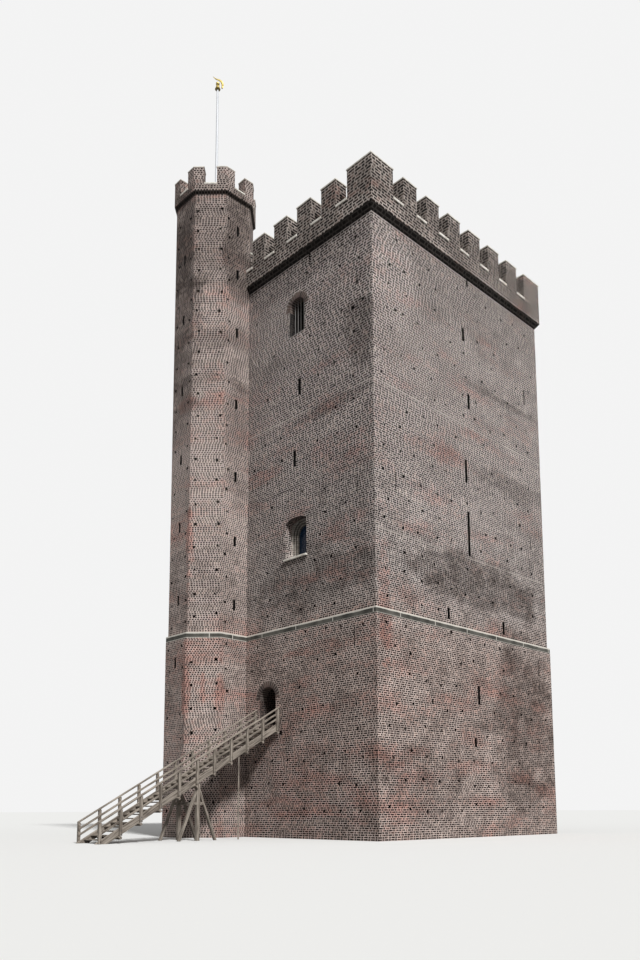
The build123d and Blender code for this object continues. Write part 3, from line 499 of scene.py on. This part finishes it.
def with_holes(node, material, core=None):
    """A CAD wall with the scaffold holes that reach it cut out, as the piece that stands for it.
    Faces inside a hole or a passage are marked, and the brick's material paints shade on those,
    near black. So it does on faces within the core, given by its middle and half width: the reveals
    of the slits, painted dark as in shade."""
    low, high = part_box(node)
    reach = 0.1
    mine = [row for row in holes
            if all(low[i] - reach < row[0][i] < high[i] + reach for i in range(3))]
    wall = merged(node, node + "_brickwork")
    wall.data.materials.append(material)
    if mine:
        cutter = shapes_at(node + "_holes", box_tree, mine, material, unevenness=HOLE_UNEVEN,
                           seed=len(mine))
        cut = wall.modifiers.new("holes", "BOOLEAN")
        cut.operation = "DIFFERENCE"
        cut.solver = "EXACT"
        cut.object = cutter
        settled(wall)
        bpy.data.objects.remove(cutter)
    settled(wall, material)
    shade_marks = wall.data.attributes.new("inside", "FLOAT", "FACE")
    for spot, turn, (width, depth, height), shade in [row + (1.0,) for row in mine] + passages:
        back = Matrix.Rotation(-turn, 3, "Z")
        for face in wall.data.polygons:
            place = back @ (face.center - spot)
            # A hole is cut up to a fifth larger than its row says
            if (abs(place.x) < 0.58 * width and abs(place.z) < 0.58 * height
                    and 0.02 < place.y < 0.6 * depth):
                shade_marks.data[face.index].value = shade
    if core:
        middle, half = core
        for face in wall.data.polygons:
            place = face.center - middle
            if abs(place.x) < half and abs(place.y) < half:
                shade_marks.data[face.index].value = 1.0
    stands_for(wall, "brick", node)


for node in ("front_wall_lower", "front_wall_upper", "rear_wall_lower", "rear_wall_upper",
             "far_wall_lower", "far_wall_upper"):
    with_holes(node, wall_brick, core=(Vector(), KEEP_FACE - REVEAL))
for node in ("entrance_wall_base", "door_piers", "entrance_wall_over_door", "entrance_wall_upper"):
    with_holes(node, wall_brick)

# Stair turret: an eight-sided shaft of the same brick, bonded into the entrance wall. Its narrow
# sides show short faces only, and its corners were repaired with redder brick.
turret_brick = brick_material(
    "turret_brick", HEADER, 0.014, ("#100c0b", "#2c2320", "#45322c", "#7a6d63", "#dccec5"),
    (1.1, 0.88),
    [((-4.3, 2.1, 14.05), (2.5, 2.5, 0.4), -0.14), ((-4.3, 2.1, 12.75), (2.5, 2.5, 0.2), -0.14),
     ((-4.3, 2.1, 17.2), (2.5, 2.5, 1.9), -0.17), ((-4.25, 1.0, 16.6), (0.5, 0.12, 2.2), -0.2),
     ((-4.3, 2.1, 9.2), (2.5, 2.5, 1.8), 0.08), ((-4.2, 1.0, 11.0), (0.5, 0.05, 2.4), -0.15),
     ((-4.9, 1.3, 4.0), (0.6, 0.6, 2.0), 0.08),
     ((-5.5, 2.6, 15.0), (0.7, 1.2, 4.0), -0.25)],
    [((-5.34, 1.66, 3.6), (0.16, 0.16, 0.9), 0.22), ((-5.34, 1.66, 7.8), (0.16, 0.16, 1.0), 0.2),
     ((-4.9, 1.2, 12.6), (0.35, 0.35, 0.9), 0.16), ((-5.02, 1.34, 3.9), (0.1, 0.1, 0.7), 0.16),
     ((-4.7, 1.02, 3.7), (0.15, 0.15, 0.8), 0.14), ((-5.4, 1.9, 12.0), (0.3, 0.4, 0.4), 0.16)],
    [(18.4, 18.49, 0.8)], corners=TURRET)
for node in ("turret_wall_front", "turret_wall_outer", "turret_wall_rear"):
    with_holes(node, turret_brick, core=(TURRET, TURRET_FACE - TURRET_REVEAL))
for node in ("turret_wall_front_corner", "turret_wall_rear_corner", "turret_wall_roof_side"):
    with_holes(node, turret_brick)

# Battlements: breast walls and merlons on a corbelled course, of darker bricks than the walls.
# The furthest from the eye, their bricks are too fine to show, so they are drawn 1.6 times larger.
battlement_brick = brick_material(
    "battlement_brick", STRETCHER, 0.064, ("#0c0a09", "#2b2421", "#43332d", "#786d65", "#cbc2b9"),
    (1.1, 0.75), [((0.0, 0.0, 16.55), (7.0, 7.0, 0.8), -0.16)], [], [(15.66, 15.845, 0.9)])
for node in ("front_parapet", "far_parapet", "rear_parapet", "entrance_parapet", "keep_merlons"):
    with_holes(node, battlement_brick)
for node in ("turret_parapet", "turret_merlons"):
    with_holes(node, turret_brick)

# String course: sandstone blocks, sawn and gone dark grey-green in the weather, with wide pale
# joints and a highlight painted along the upper edge, where light falls on it. It is built into
# the wall where the upper storeys step back.
BLOCK = 1.35
BLOCK_JOINT = 0.022
HIGHLIGHT_ABOVE = 5.435
BED_BELOW = 5.322


def mottled(tree, shader, place, scale, detail, *tones):
    """A soft noise, and the shader's colour, which drifts with it between two tones. Each tone is
    given as the value of the noise where it is purest, and its colour."""
    noise = add(tree, NOISE, {"Vector": place, "Scale": scale, "Detail": detail}, "Fac")
    colour = add(tree, "ShaderNodeValToRGB", {0: noise})
    for stop, (value, code) in zip(colour.node.color_ramp.elements, tones):
        stop.position = value
        stop.color = linear(code)
    tree.links.new(colour, shader.inputs["Base Color"])
    return noise, colour


dark_stone, tree, shader, place = new_material("weathered_sandstone", roughness=0.85)
grain, colour = mottled(tree, shader, place, 3.0, 7.0, (0.35, "#36352f"), (0.65, "#605e57"))
normal = add(tree, "ShaderNodeNewGeometry", output="True Normal")
along = add(tree, VECTOR_MATH, {0: (0, 0, 1), 1: normal}, operation="CROSS_PRODUCT")
along = add(tree, VECTOR_MATH, {0: place, 1: along}, "Value", operation="DOT_PRODUCT")
along = add(tree, MATH, {0: along, 1: 0.3}, operation="ADD")
along = add(tree, MATH, {0: along, 1: BLOCK}, operation="FLOORED_MODULO")
joints_and_highlight = add(tree, MATH, {0: along, 1: BLOCK_JOINT}, operation="LESS_THAN")
upright = add(tree, SPLIT, {0: place}, 2)
# Painted highlight: the upper edge is drawn pale, where the light falls on it
top = add(tree, MATH, {0: grain, 1: 0.03, 2: upright}, operation="MULTIPLY_ADD")
top = add(tree, MATH, {0: top, 1: HIGHLIGHT_ABOVE}, operation="GREATER_THAN")
joints_and_highlight = add(tree, MATH, {0: joints_and_highlight, 1: top}, operation="MAXIMUM")
bed = add(tree, MATH, {0: upright, 1: BED_BELOW}, operation="LESS_THAN")
joints_and_highlight = add(tree, MATH, {0: joints_and_highlight, 1: bed}, operation="MAXIMUM")
colour = add(tree, MIX, {0: joints_and_highlight, 6: colour, 7: linear("#d2cdc3")}, 2, data_type="RGBA")
tree.links.new(colour, shader.inputs["Base Color"])

# The sand's grain is too fine to show, so it is drawn as pits some 15 mm across
pits = add(tree, NOISE, {"Vector": place, "Scale": 60.0, "Detail": 4.0}, "Fac")
bump = add(tree, "ShaderNodeBump", {"Strength": 0.4, "Distance": 0.003, "Height": pits})
tree.links.new(bump, shader.inputs["Normal"])


def worn(thing, width, segments=1):
    """Rounds off an object's arrises."""
    bevel = thing.modifiers.new("arris", "BEVEL")
    bevel.width = width
    bevel.segments = segments
    bevel.limit_method = "ANGLE"
    return thing


def dressed(node, name, material, slot, arris=0.0, segments=2):
    """A CAD piece with its arrises worn and its material on, as the piece that stands for it."""
    piece = merged(node, name)
    if arris:
        worn(piece, arris, segments)
    settled(piece, material)
    stands_for(piece, slot, node)
    return piece


dressed("string_course", "string_course_stones", dark_stone, "stone", arris=0.015)

# Copings and sills: thin slabs of pale limestone that stand a little out of the wall, bedded in
# mortar, and washed clean by the rain but for grey grime in their pores.
SLAB_FOOT = 16.356
SLAB_LIP = 0.028
TURRET_SLAB = (0.372, 0.31, 0.05)
TURRET_SLAB_PLACE = Vector((0, -1.02, 18.705))
pale_stone, tree, shader, place = new_material("rain_washed_limestone", roughness=0.85)
mottled(tree, shader, place, 9.0, 7.0, (0.3, "#c4beb3"), (0.6, "#f2ede3"))
pits = add(tree, NOISE, {"Vector": place, "Scale": 60.0, "Detail": 4.0}, "Fac")
bump = add(tree, "ShaderNodeBump", {"Strength": 0.3, "Distance": 0.003, "Height": pits})
tree.links.new(bump, shader.inputs["Normal"])
for node in ("merlon_copings", "window_sill"):
    dressed(node, node + "_slabs", pale_stone, "stone", arris=0.006)
crenel_slabs = dressed("crenel_sills", "crenel_slabs", pale_stone, "stone", arris=0.006)

# The slabs between the merlons reach down over the edge of the breast wall
for corner in crenel_slabs.data.vertices:
    if corner.co.z < SLAB_FOOT:
        corner.co.z -= SLAB_LIP

# The turret has such a slab between its merlons too, in the middle of each side
rows = []
for side in range(8):
    turned = Matrix.Rotation(side * math.pi / 4, 3, "Z")
    rows.append((TURRET + turned @ TURRET_SLAB_PLACE, side * math.pi / 4, TURRET_SLAB))
turret_slabs = shapes_at("turret_sill_slabs", box_tree, rows, pale_stone)
settled(worn(turret_slabs, 0.006))
stands_for(turret_slabs, "stone")

# Arches: half rings of rubbed bricks on end in sandy lime mortar, over the door and over the upper
# window. Each arch is given by its middle, springing height, radius and the face of its wall.
ARCH_RING = 0.167
ARCH_DEPTH = 0.23
ARCH_BRICK = 0.078
ARCH_JOINT = 0.014
DOOR_ARCH = (0.04, 3.6305, 0.3165, PLINTH_FACE)
WINDOW_ARCH = (-1.0389, 14.3005, 0.2915, KEEP_FACE)
lime_mortar, tree, shader, place = new_material("lime_mortar", roughness=0.95)
mottled(tree, shader, place, 25.0, 6.0, (0.0, "#6f655e"), (1.0, "#a99e95"))
dressed("brick_arches", "arch_mortar", lime_mortar, "brick")

# Each arch brick has a tone of its own and stands 5 mm proud of the mortar
arch_brick, tree, shader, place = new_material("rubbed_arch_brick", roughness=0.9)
tone = add(tree, "ShaderNodeAttribute", output="Fac", attribute_name="tone")
burnt = add(tree, MIX, {0: tone, 6: linear("#332a28"), 7: linear("#66554e")}, 2, data_type="RGBA")
mottle = add(tree, NOISE, {"Vector": place, "Scale": 50.0, "Detail": 4.0}, "Fac")
mottle = add(tree, MAP_RANGE, {0: mottle, 1: 0.3, 2: 0.7, 3: 0.7, 4: 1.25})
colour = add(tree, MIX, {0: 1.0, 6: burnt, 7: mottle}, 2, **MULTIPLIED)
tree.links.new(colour, shader.inputs["Base Color"])
rows = []
for aside, spring, radius, face in (DOOR_ARCH, WINDOW_ARCH):
    middle = radius + ARCH_RING / 2 - 0.006
    count = round(math.pi * middle / ARCH_BRICK)
    for i in range(count):
        angle = math.pi * (i + 0.5) / count
        spot = (ARCH_DEPTH / 2 - 0.002 - face, aside + middle * math.cos(angle),
                spring + middle * math.sin(angle))
        size = (ARCH_DEPTH + 0.006, math.pi * middle / count - ARCH_JOINT, ARCH_RING - 0.01)
        rows.append((spot, (angle - math.pi / 2, 0.0, 0.0), size))
arch_bricks = shapes_at("arch_bricks", box_tree, rows, arch_brick, seed=4)
settled(worn(arch_bricks, 0.004))
stands_for(arch_bricks, "brick")

# Lower window: a round-headed light in three stepped orders of lime-washed brick, set back in a
# wide recess and closed by one dark pane.
LIGHT_SPRING = 7.986
LIGHT_HALF = 0.27
ORDER_WIDTH = 0.042
ORDER_EDGES = (-3.57, -3.515, -3.46, -3.41)
RECESS_MIDDLE = -0.9956
RECESS_HALF = 0.408
RECESS_FOOT = 7.296
RECESS_SPRING = 8.289
RECESS_RISE = 0.096
lime_wash, tree, shader, place = new_material("lime_washed_brick", roughness=0.9)
upright = add(tree, SPLIT, {0: place}, 2)
rise = add(tree, MATH, {0: upright, 1: COURSE}, operation="FLOORED_MODULO")
joint = add(tree, MATH, {0: rise, 1: 0.012}, operation="LESS_THAN")
_, colour = mottled(tree, shader, place, 18.0, 6.0, (0.35, "#8d8279"), (0.6, "#dcd3c9"))
colour = add(tree, MIX, {0: joint, 6: colour, 7: linear("#ede6dd")}, 2, data_type="RGBA")
# Painted shade: the head of the light above the springing is drawn dark, as its soffit lies in shade
soffit_shade = add(tree, MAP_RANGE, {0: upright, 1: LIGHT_SPRING - 0.03, 2: LIGHT_SPRING + 0.05, 4: 0.6})
colour = add(tree, MIX, {0: soffit_shade, 6: colour, 7: linear("#2e2825")}, 2, data_type="RGBA")
# Painted shade: faces turned aside, the reveals, are drawn darker than faces that look out of the wall
front = add(tree, "ShaderNodeNewGeometry", output="True Normal")
front = add(tree, SPLIT, {0: front}, 0)
front = add(tree, MAP_RANGE, {0: front, 1: -0.3, 2: -0.8, 3: 0.45, 4: 1.1})
colour = add(tree, MIX, {0: 1.0, 6: colour, 7: front}, 2, **MULTIPLIED)
tree.links.new(colour, shader.inputs["Base Color"])


def arch_path(half, spring, rise):
    """The outline of the recess or of an opening in it, as points up one side, over the head and
    down the other."""
    radius = (half * half + rise * rise) / (2 * rise)
    sweep = math.asin(min(1.0, half / radius))
    low = [(RECESS_MIDDLE - half, RECESS_FOOT), (RECESS_MIDDLE - half, (RECESS_FOOT + spring) / 2)]
    head = []
    for i in range(25):
        angle = -sweep + 2 * sweep * i / 24
        head.append((RECESS_MIDDLE + radius * math.sin(angle),
                     spring + rise - radius + radius * math.cos(angle)))
    return low + head + [(2 * RECESS_MIDDLE - y, z) for y, z in reversed(low)]


def closed_mesh(name, work):
    """A closed shape with its faces turned outwards, as an object in the scene."""
    bmesh.ops.recalc_face_normals(work, faces=work.faces)
    mesh = bpy.data.meshes.new(name)
    work.to_mesh(mesh)
    work.free()
    return put_in(name, mesh)


work = bmesh.new()
outer = arch_path(RECESS_HALF, RECESS_SPRING, RECESS_RISE)
for step, (front, back) in enumerate(zip(ORDER_EDGES, ORDER_EDGES[1:])):
    opening = LIGHT_HALF + ORDER_WIDTH * (2 - step)
    inner = arch_path(opening, LIGHT_SPRING, opening)
    rows = [[work.verts.new((x, y, z)) for y, z in path]
            for x, path in ((front, outer), (front, inner), (back, inner), (back, outer))]
    for i in range(len(outer) - 1):
        for j in range(4):
            one, other = rows[j], rows[(j + 1) % 4]
            work.faces.new((one[i], one[i + 1], other[i + 1], other[i]))
    work.faces.new([row[0] for row in rows])
    work.faces.new([row[-1] for row in reversed(rows)])
orders = settled(closed_mesh("window_orders", work), lime_wash)
stands_for(orders, "brick", "window_surround")

# Upper window: four upright iron bars, painted pale grey, stand just behind the face of the wall,
# let into the sill and the arch. The paint is dull, with a little rust coming through.
BARS = 4
BAR = 0.024
BAR_SPACING = 0.115
BAR_FOOT = 13.548
BAR_PLANE = -3.7
rod_tree = shape_tree("rods_on_points", "GeometryNodeMeshCylinder", Vertices=10, Radius=0.5, Depth=1.0)
bar_iron, tree, shader, place = new_material("painted_iron_bar", roughness=0.6)
mottled(tree, shader, place, 40.0, 5.0, (0.0, "#4f4c4a"), (1.0, "#85817d"))
rows = []
middle, spring, radius, _ = WINDOW_ARCH
for i in range(BARS):
    aside = BAR_SPACING * (i - (BARS - 1) / 2)
    top = spring + math.sqrt(radius ** 2 - aside ** 2)
    rows.append(((BAR_PLANE, middle + aside, (BAR_FOOT + top) / 2), 0.0, (BAR, BAR, top - BAR_FOOT)))
bars = shapes_at("window_bars", rod_tree, rows, bar_iron)
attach(bars, "keep")

# Floors and roofs: sawn boards on the floors, with their grain along them, and squared stone slabs
# in mortar on the cellar's floor and the roofs.
boards, tree, shader, place = new_material("sawn_floor_boards", roughness=0.7)
along = add(tree, "ShaderNodeMapping", {"Vector": place, "Scale": (11.0, 0.8, 1.0)})
mottled(tree, shader, along, 1.0, 5.0, (0.0, "#4a3c2e"), (1.0, "#8b7861"))
for node in ("entrance_floor", "upper_floors"):
    dressed(node, node + "_boards", boards, "floor_boards")

paving, tree, shader, place = new_material("stone_paving", roughness=0.85)
slabs = add(tree, "ShaderNodeTexBrick", {
    "Vector": place, "Color1": linear("#8f8b82"), "Color2": linear("#7d7970"),
    "Mortar": linear("#5d5a54"), "Scale": 1.0, "Mortar Size": 0.008, "Brick Width": 0.45,
    "Row Height": 0.3}, "Color")
tree.links.new(slabs, shader.inputs["Base Color"])
for node, slot in (("cellar_floor", "floor_stone"), ("roof_deck", "roof_paving"),
                   ("turret_roof", "roof_paving"), ("flagpole_foot", "floor_stone")):
    dressed(node, node + "_slabs", paving, slot)

# Window glass: one pane of float glass behind the lower window's orders. It is smooth, and its
# colour is painted: nearly black for the dark room behind it, with a painted blue sheen of sky.
pane_glass, _, shader, _ = new_material("float_glass", roughness=0.05)
shader.inputs["Base Color"].default_value = linear("#2b425e")
shader.inputs["Transmission Weight"].default_value = 0.4
dressed("window_glass", "window_pane", pane_glass, "window_glass")

# Stair: oak boards and posts, sawn and gone grey-brown in the weather. Treads lie on stringers, and
# posts are bolted to them. The grain runs along each board, open and darker in the soft wood. It is
# drawn some 15 mm wide, because the real grain is too fine to show.
oak, tree, shader, place = new_material("weathered_oak", roughness=0.85)
axis = add(tree, "ShaderNodeAttribute", output="Vector", attribute_name="grain")
along = add(tree, VECTOR_MATH, {0: place, 1: axis}, "Value", operation="DOT_PRODUCT")
along = add(tree, MATH, {0: along, 1: -0.95}, operation="MULTIPLY")
along = add(tree, VECTOR_MATH, {0: axis, "Scale": along}, operation="SCALE")
along = add(tree, VECTOR_MATH, {0: place, 1: along}, operation="ADD")
fibres, colour = mottled(tree, shader, along, 55.0, 5.0, (0.36, "#5b5148"), (0.62, "#aaa094"))
patches_and_tops = add(tree, NOISE, {"Vector": place, "Scale": 2.3, "Detail": 4.0}, "Fac")
patches_and_tops = add(tree, MAP_RANGE, {0: patches_and_tops, 1: 0.3, 2: 0.7, 3: 0.75, 4: 1.15})
# Faces that look upwards are drawn up to a quarter lighter
upward = add(tree, "ShaderNodeNewGeometry", output="True Normal")
upward = add(tree, SPLIT, {0: upward}, 2)
upward = add(tree, MAP_RANGE, {0: upward, 1: 0.5, 2: 0.9, 3: 1.0, 4: 1.25})
patches_and_tops = add(tree, MATH, {0: patches_and_tops, 1: upward}, operation="MULTIPLY")
colour = add(tree, MIX, {0: 1.0, 6: colour, 7: patches_and_tops}, 2, **MULTIPLIED)
tree.links.new(colour, shader.inputs["Base Color"])
bump = add(tree, "ShaderNodeBump", {"Strength": 0.5, "Distance": 0.002, "Height": fibres})
tree.links.new(bump, shader.inputs["Normal"])
for node in ("near_railing", "far_railing", "stair_stringers", "stair_treads", "stair_cross_beams",
             "stair_trestle"):
    timber = dressed(node, node + "_timber", oak, "weathered_timber", arris=0.005, segments=1)
    grain = timber.data.attributes.new("grain", "FLOAT_VECTOR", "FACE")
    for face in timber.data.polygons:
        corners = [timber.data.vertices[i].co for i in face.vertices]
        edges = [b - a for a, b in zip(corners, corners[1:] + corners[:1])]
        edges.sort(key=lambda edge: edge.length)
        grain.data[face.index].vector = edges[-2].normalized()

# Bolts of the stair: galvanised heads, two to a post, that hold it to the stringer. The zinc is a
# dull grey with a fine spangle.
POSTS = 11
FIRST_POST = 0.046
POST_STEP = 0.503
STAIR_TOP = 2.944
STAIR_SLOPE = 0.57
BOLT_ASIDE = 0.4885
BOLT_DROPS = (0.06, 0.14)
BOLT_HEAD = (0.022, 0.022, 0.012)
galvanised, tree, shader, place = new_material("galvanised_bolt_head")
spangle = add(tree, "ShaderNodeTexVoronoi", {"Vector": place, "Scale": 160.0}, "Distance")
spangle = add(tree, MAP_RANGE, {0: spangle, 1: 0.0, 2: 0.6, 3: 0.35, 4: 0.6})
tree.links.new(spangle, shader.inputs["Roughness"])
shader.inputs["Base Color"].default_value = linear("#6f7072")
shader.inputs["Metallic"].default_value = 1.0
rows = []
for side in (-1, 1):
    for i in range(POSTS):
        out = FIRST_POST + POST_STEP * i
        for drop in BOLT_DROPS:
            z = max(0.05, STAIR_TOP - drop - STAIR_SLOPE * out)
            rows.append(((-PLINTH_FACE - out, DOOR_ARCH[0] + side * BOLT_ASIDE, z),
                         (math.pi / 2, 0.0, 0.0), BOLT_HEAD))
bolts = shapes_at("stair_bolts", rod_tree, rows, galvanised)
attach(bolts, "keep")

# Flagpole: a tapered steel tube, set in a socket in the turret's roof. Its white gloss paint is
# smooth but for dust in it.
white_paint, tree, shader, place = new_material("white_gloss_paint", roughness=0.35)
mottled(tree, shader, place, 6.0, 5.0, (0.0, "#c9cdd3"), (1.0, "#eceef2"))
pole = dressed("flagpole", "painted_pole", white_paint, "white_paint")
pole.data.shade_smooth()
pole.data.set_sharp_from_angle(angle=math.radians(35))

# Vane: gilded copper, a turned bell and ball on the pole's spindle and a curved tapering streamer.
# The leaf is worn down to brown copper in places.
BALL = 0.06
BALL_MIDDLE = 23.044
VANE_FOOT = 22.852
HEADING = math.radians(-44)
BLADE_THICKNESS = 0.02
KNOB = 0.024
gilding, tree, shader, place = new_material("gilded_copper")
leaf, _ = mottled(tree, shader, place, 22.0, 5.0, (0.3, "#6b5a2c"), (0.6, "#d2be76"))
shader.inputs["Metallic"].default_value = 1.0
rubbed = add(tree, MAP_RANGE, {0: leaf, 1: 0.35, 2: 0.65, 3: 0.55, 4: 0.3})
tree.links.new(rubbed, shader.inputs["Roughness"])


def ring_mesh(name, rings, material):
    """A closed smooth mesh through rings of points, each ring with as many points as the others."""
    work = bmesh.new()
    rows = [[work.verts.new(point) for point in ring] for ring in rings]
    for one, other in zip(rows, rows[1:]):
        for i in range(len(one)):
            j = (i + 1) % len(one)
            work.faces.new((one[i], one[j], other[j], other[i]))
    work.faces.new(list(reversed(rows[0])))
    work.faces.new(rows[-1])
    made = closed_mesh(name, work)
    made.data.materials.append(material)
    made.data.shade_smooth()
    made.data.set_sharp_from_angle(angle=math.radians(40))
    return made


def turned_ring(middle, radius, z, count):
    """The points round a turned piece, at a height above its middle."""
    angles = [math.tau * i / count for i in range(count)]
    return [middle + Vector((radius * math.cos(a), radius * math.sin(a), z)) for a in angles]


# The bell's outline as radius and height, with the ball on top
profile = [(0.015, 22.853), (0.08, 22.853), (0.085, 22.86), (0.082, 22.873), (0.071, 22.89),
           (0.063, 22.912), (0.058, 22.94), (0.056, 22.962), (0.05, 22.976), (0.036, 22.984),
           (0.027, 22.99)]
for i in range(1, 12):
    angle = math.pi * (0.16 + 0.83 * i / 11)
    profile.append((BALL * math.sin(angle), BALL_MIDDLE - BALL * math.cos(angle)))
bell = [turned_ring(TURRET, radius, z, 32) for radius, z in profile]
stands_for(ring_mesh("vane_bell", bell, gilding), "gilding", "vane_cap", body="vane")

# The streamer's middle line as distance from the pole and height over the bell's foot, and its
# half width. It is blade-shaped: thin at its edges and thickest along its middle
blade = [(0.134, 0.042, 0.016), (0.146, 0.074, 0.024), (0.15, 0.108, 0.027), (0.15, 0.145, 0.03),
         (0.148, 0.18, 0.03), (0.136, 0.222, 0.031), (0.118, 0.262, 0.031), (0.09, 0.295, 0.03),
         (0.052, 0.322, 0.028), (0.008, 0.341, 0.025), (-0.04, 0.356, 0.021), (-0.075, 0.378, 0.016),
         (-0.104, 0.404, 0.012), (-0.13, 0.43, 0.008), (-0.148, 0.446, 0.003)]
up = Vector((0, 0, 1))
heading = Matrix.Rotation(HEADING, 3, "Z") @ Vector((1, 0, 0))
middles = [TURRET + up * (VANE_FOOT + rise) + heading * out for out, rise, _ in blade]
rings = []
for i, (_, _, half) in enumerate(blade):
    ahead = (middles[min(i + 1, len(blade) - 1)] - middles[max(i - 1, 0)]).normalized()
    side = ahead.cross(heading.cross(up)).normalized()
    flat = ahead.cross(side).normalized()
    rings.append([middles[i] + side * 1.15 * half * math.cos(math.tau * k / 12)
                  + flat * BLADE_THICKNESS / 2 * math.sin(math.tau * k / 12) for k in range(12)])
stands_for(ring_mesh("vane_blade", rings, gilding), "gilding", "vane_streamer", body="vane")
heel = middles[0] + up * KNOB / 2
knob = []
for k in range(10):
    angle = math.pi * (k + 0.3) / 9.6
    knob.append(turned_ring(heel, KNOB * math.sin(angle), -KNOB * math.cos(angle), 16))
stands_for(ring_mesh("vane_knob", knob, gilding), "gilding", body="vane")

# Floor, light and camera: a plain pale floor, a soft lamp from the front right, a pale backdrop
# all round, and a camera at eye height. The floor keeps the shadow.
FLOOR_HALF = 300.0
FLOOR_DROP = -0.002
floor_mesh = bpy.data.meshes.new("floor")
floor_mesh.from_pydata([(x * FLOOR_HALF, y * FLOOR_HALF, FLOOR_DROP)
                        for x, y in ((-1, -1), (1, -1), (1, 1), (-1, 1))], [], [(0, 1, 2, 3)])
floor = put_in("floor", floor_mesh)
pale_floor, tree, shader, _ = new_material("pale_floor", roughness=1.0)
shader.inputs["Specular IOR Level"].default_value = 0.0
rays = tree.nodes.new("ShaderNodeLightPath")
seen = add(tree, MIX, {0: rays.outputs["Is Camera Ray"], 6: linear("#808080"),
                       7: linear("#f2f2f0")}, 2, data_type="RGBA")
tree.links.new(seen, shader.inputs["Base Color"])
floor_mesh.materials.append(pale_floor)

world = bpy.data.worlds.new("studio")
world.use_nodes = True
bpy.context.scene.world = world
tree = world.node_tree
background = tree.nodes["Background"]
rays = tree.nodes.new("ShaderNodeLightPath")
shown = add(tree, MATH, {0: rays.outputs["Is Camera Ray"], 1: rays.outputs["Is Glossy Ray"]},
            operation="MAXIMUM")
shown = add(tree, MATH, {0: shown, 1: rays.outputs["Is Transmission Ray"]}, operation="MAXIMUM")
strength = add(tree, MIX, {0: shown, 2: 0.32, 3: 0.9})
tree.links.new(strength, background.inputs["Strength"])
background.inputs["Color"].default_value = (1.0, 1.0, 1.0, 1.0)

sun = put_in("sun", bpy.data.lights.new("sun", "SUN"))
sun.data.energy = 3.15
sun.data.angle = math.radians(8.0)
sun.rotation_mode = "QUATERNION"
sun.rotation_quaternion = Vector((0.27, 0.72, -0.64)).to_track_quat("-Z", "Y")

camera = put_in("camera", bpy.data.cameras.new("camera"))
camera.location = (-17.997, -16.547, 0.725)
camera.rotation_euler = (math.pi / 2 + 0.1312, 0.0034, -0.769)
camera.data.lens = 31.045
camera.data.sensor_width = 36.0
camera.data.shift_y = 0.2292
camera.data.clip_end = 500.0
bpy.context.scene.camera = camera
bpy.context.scene.view_settings.view_transform = "Standard"
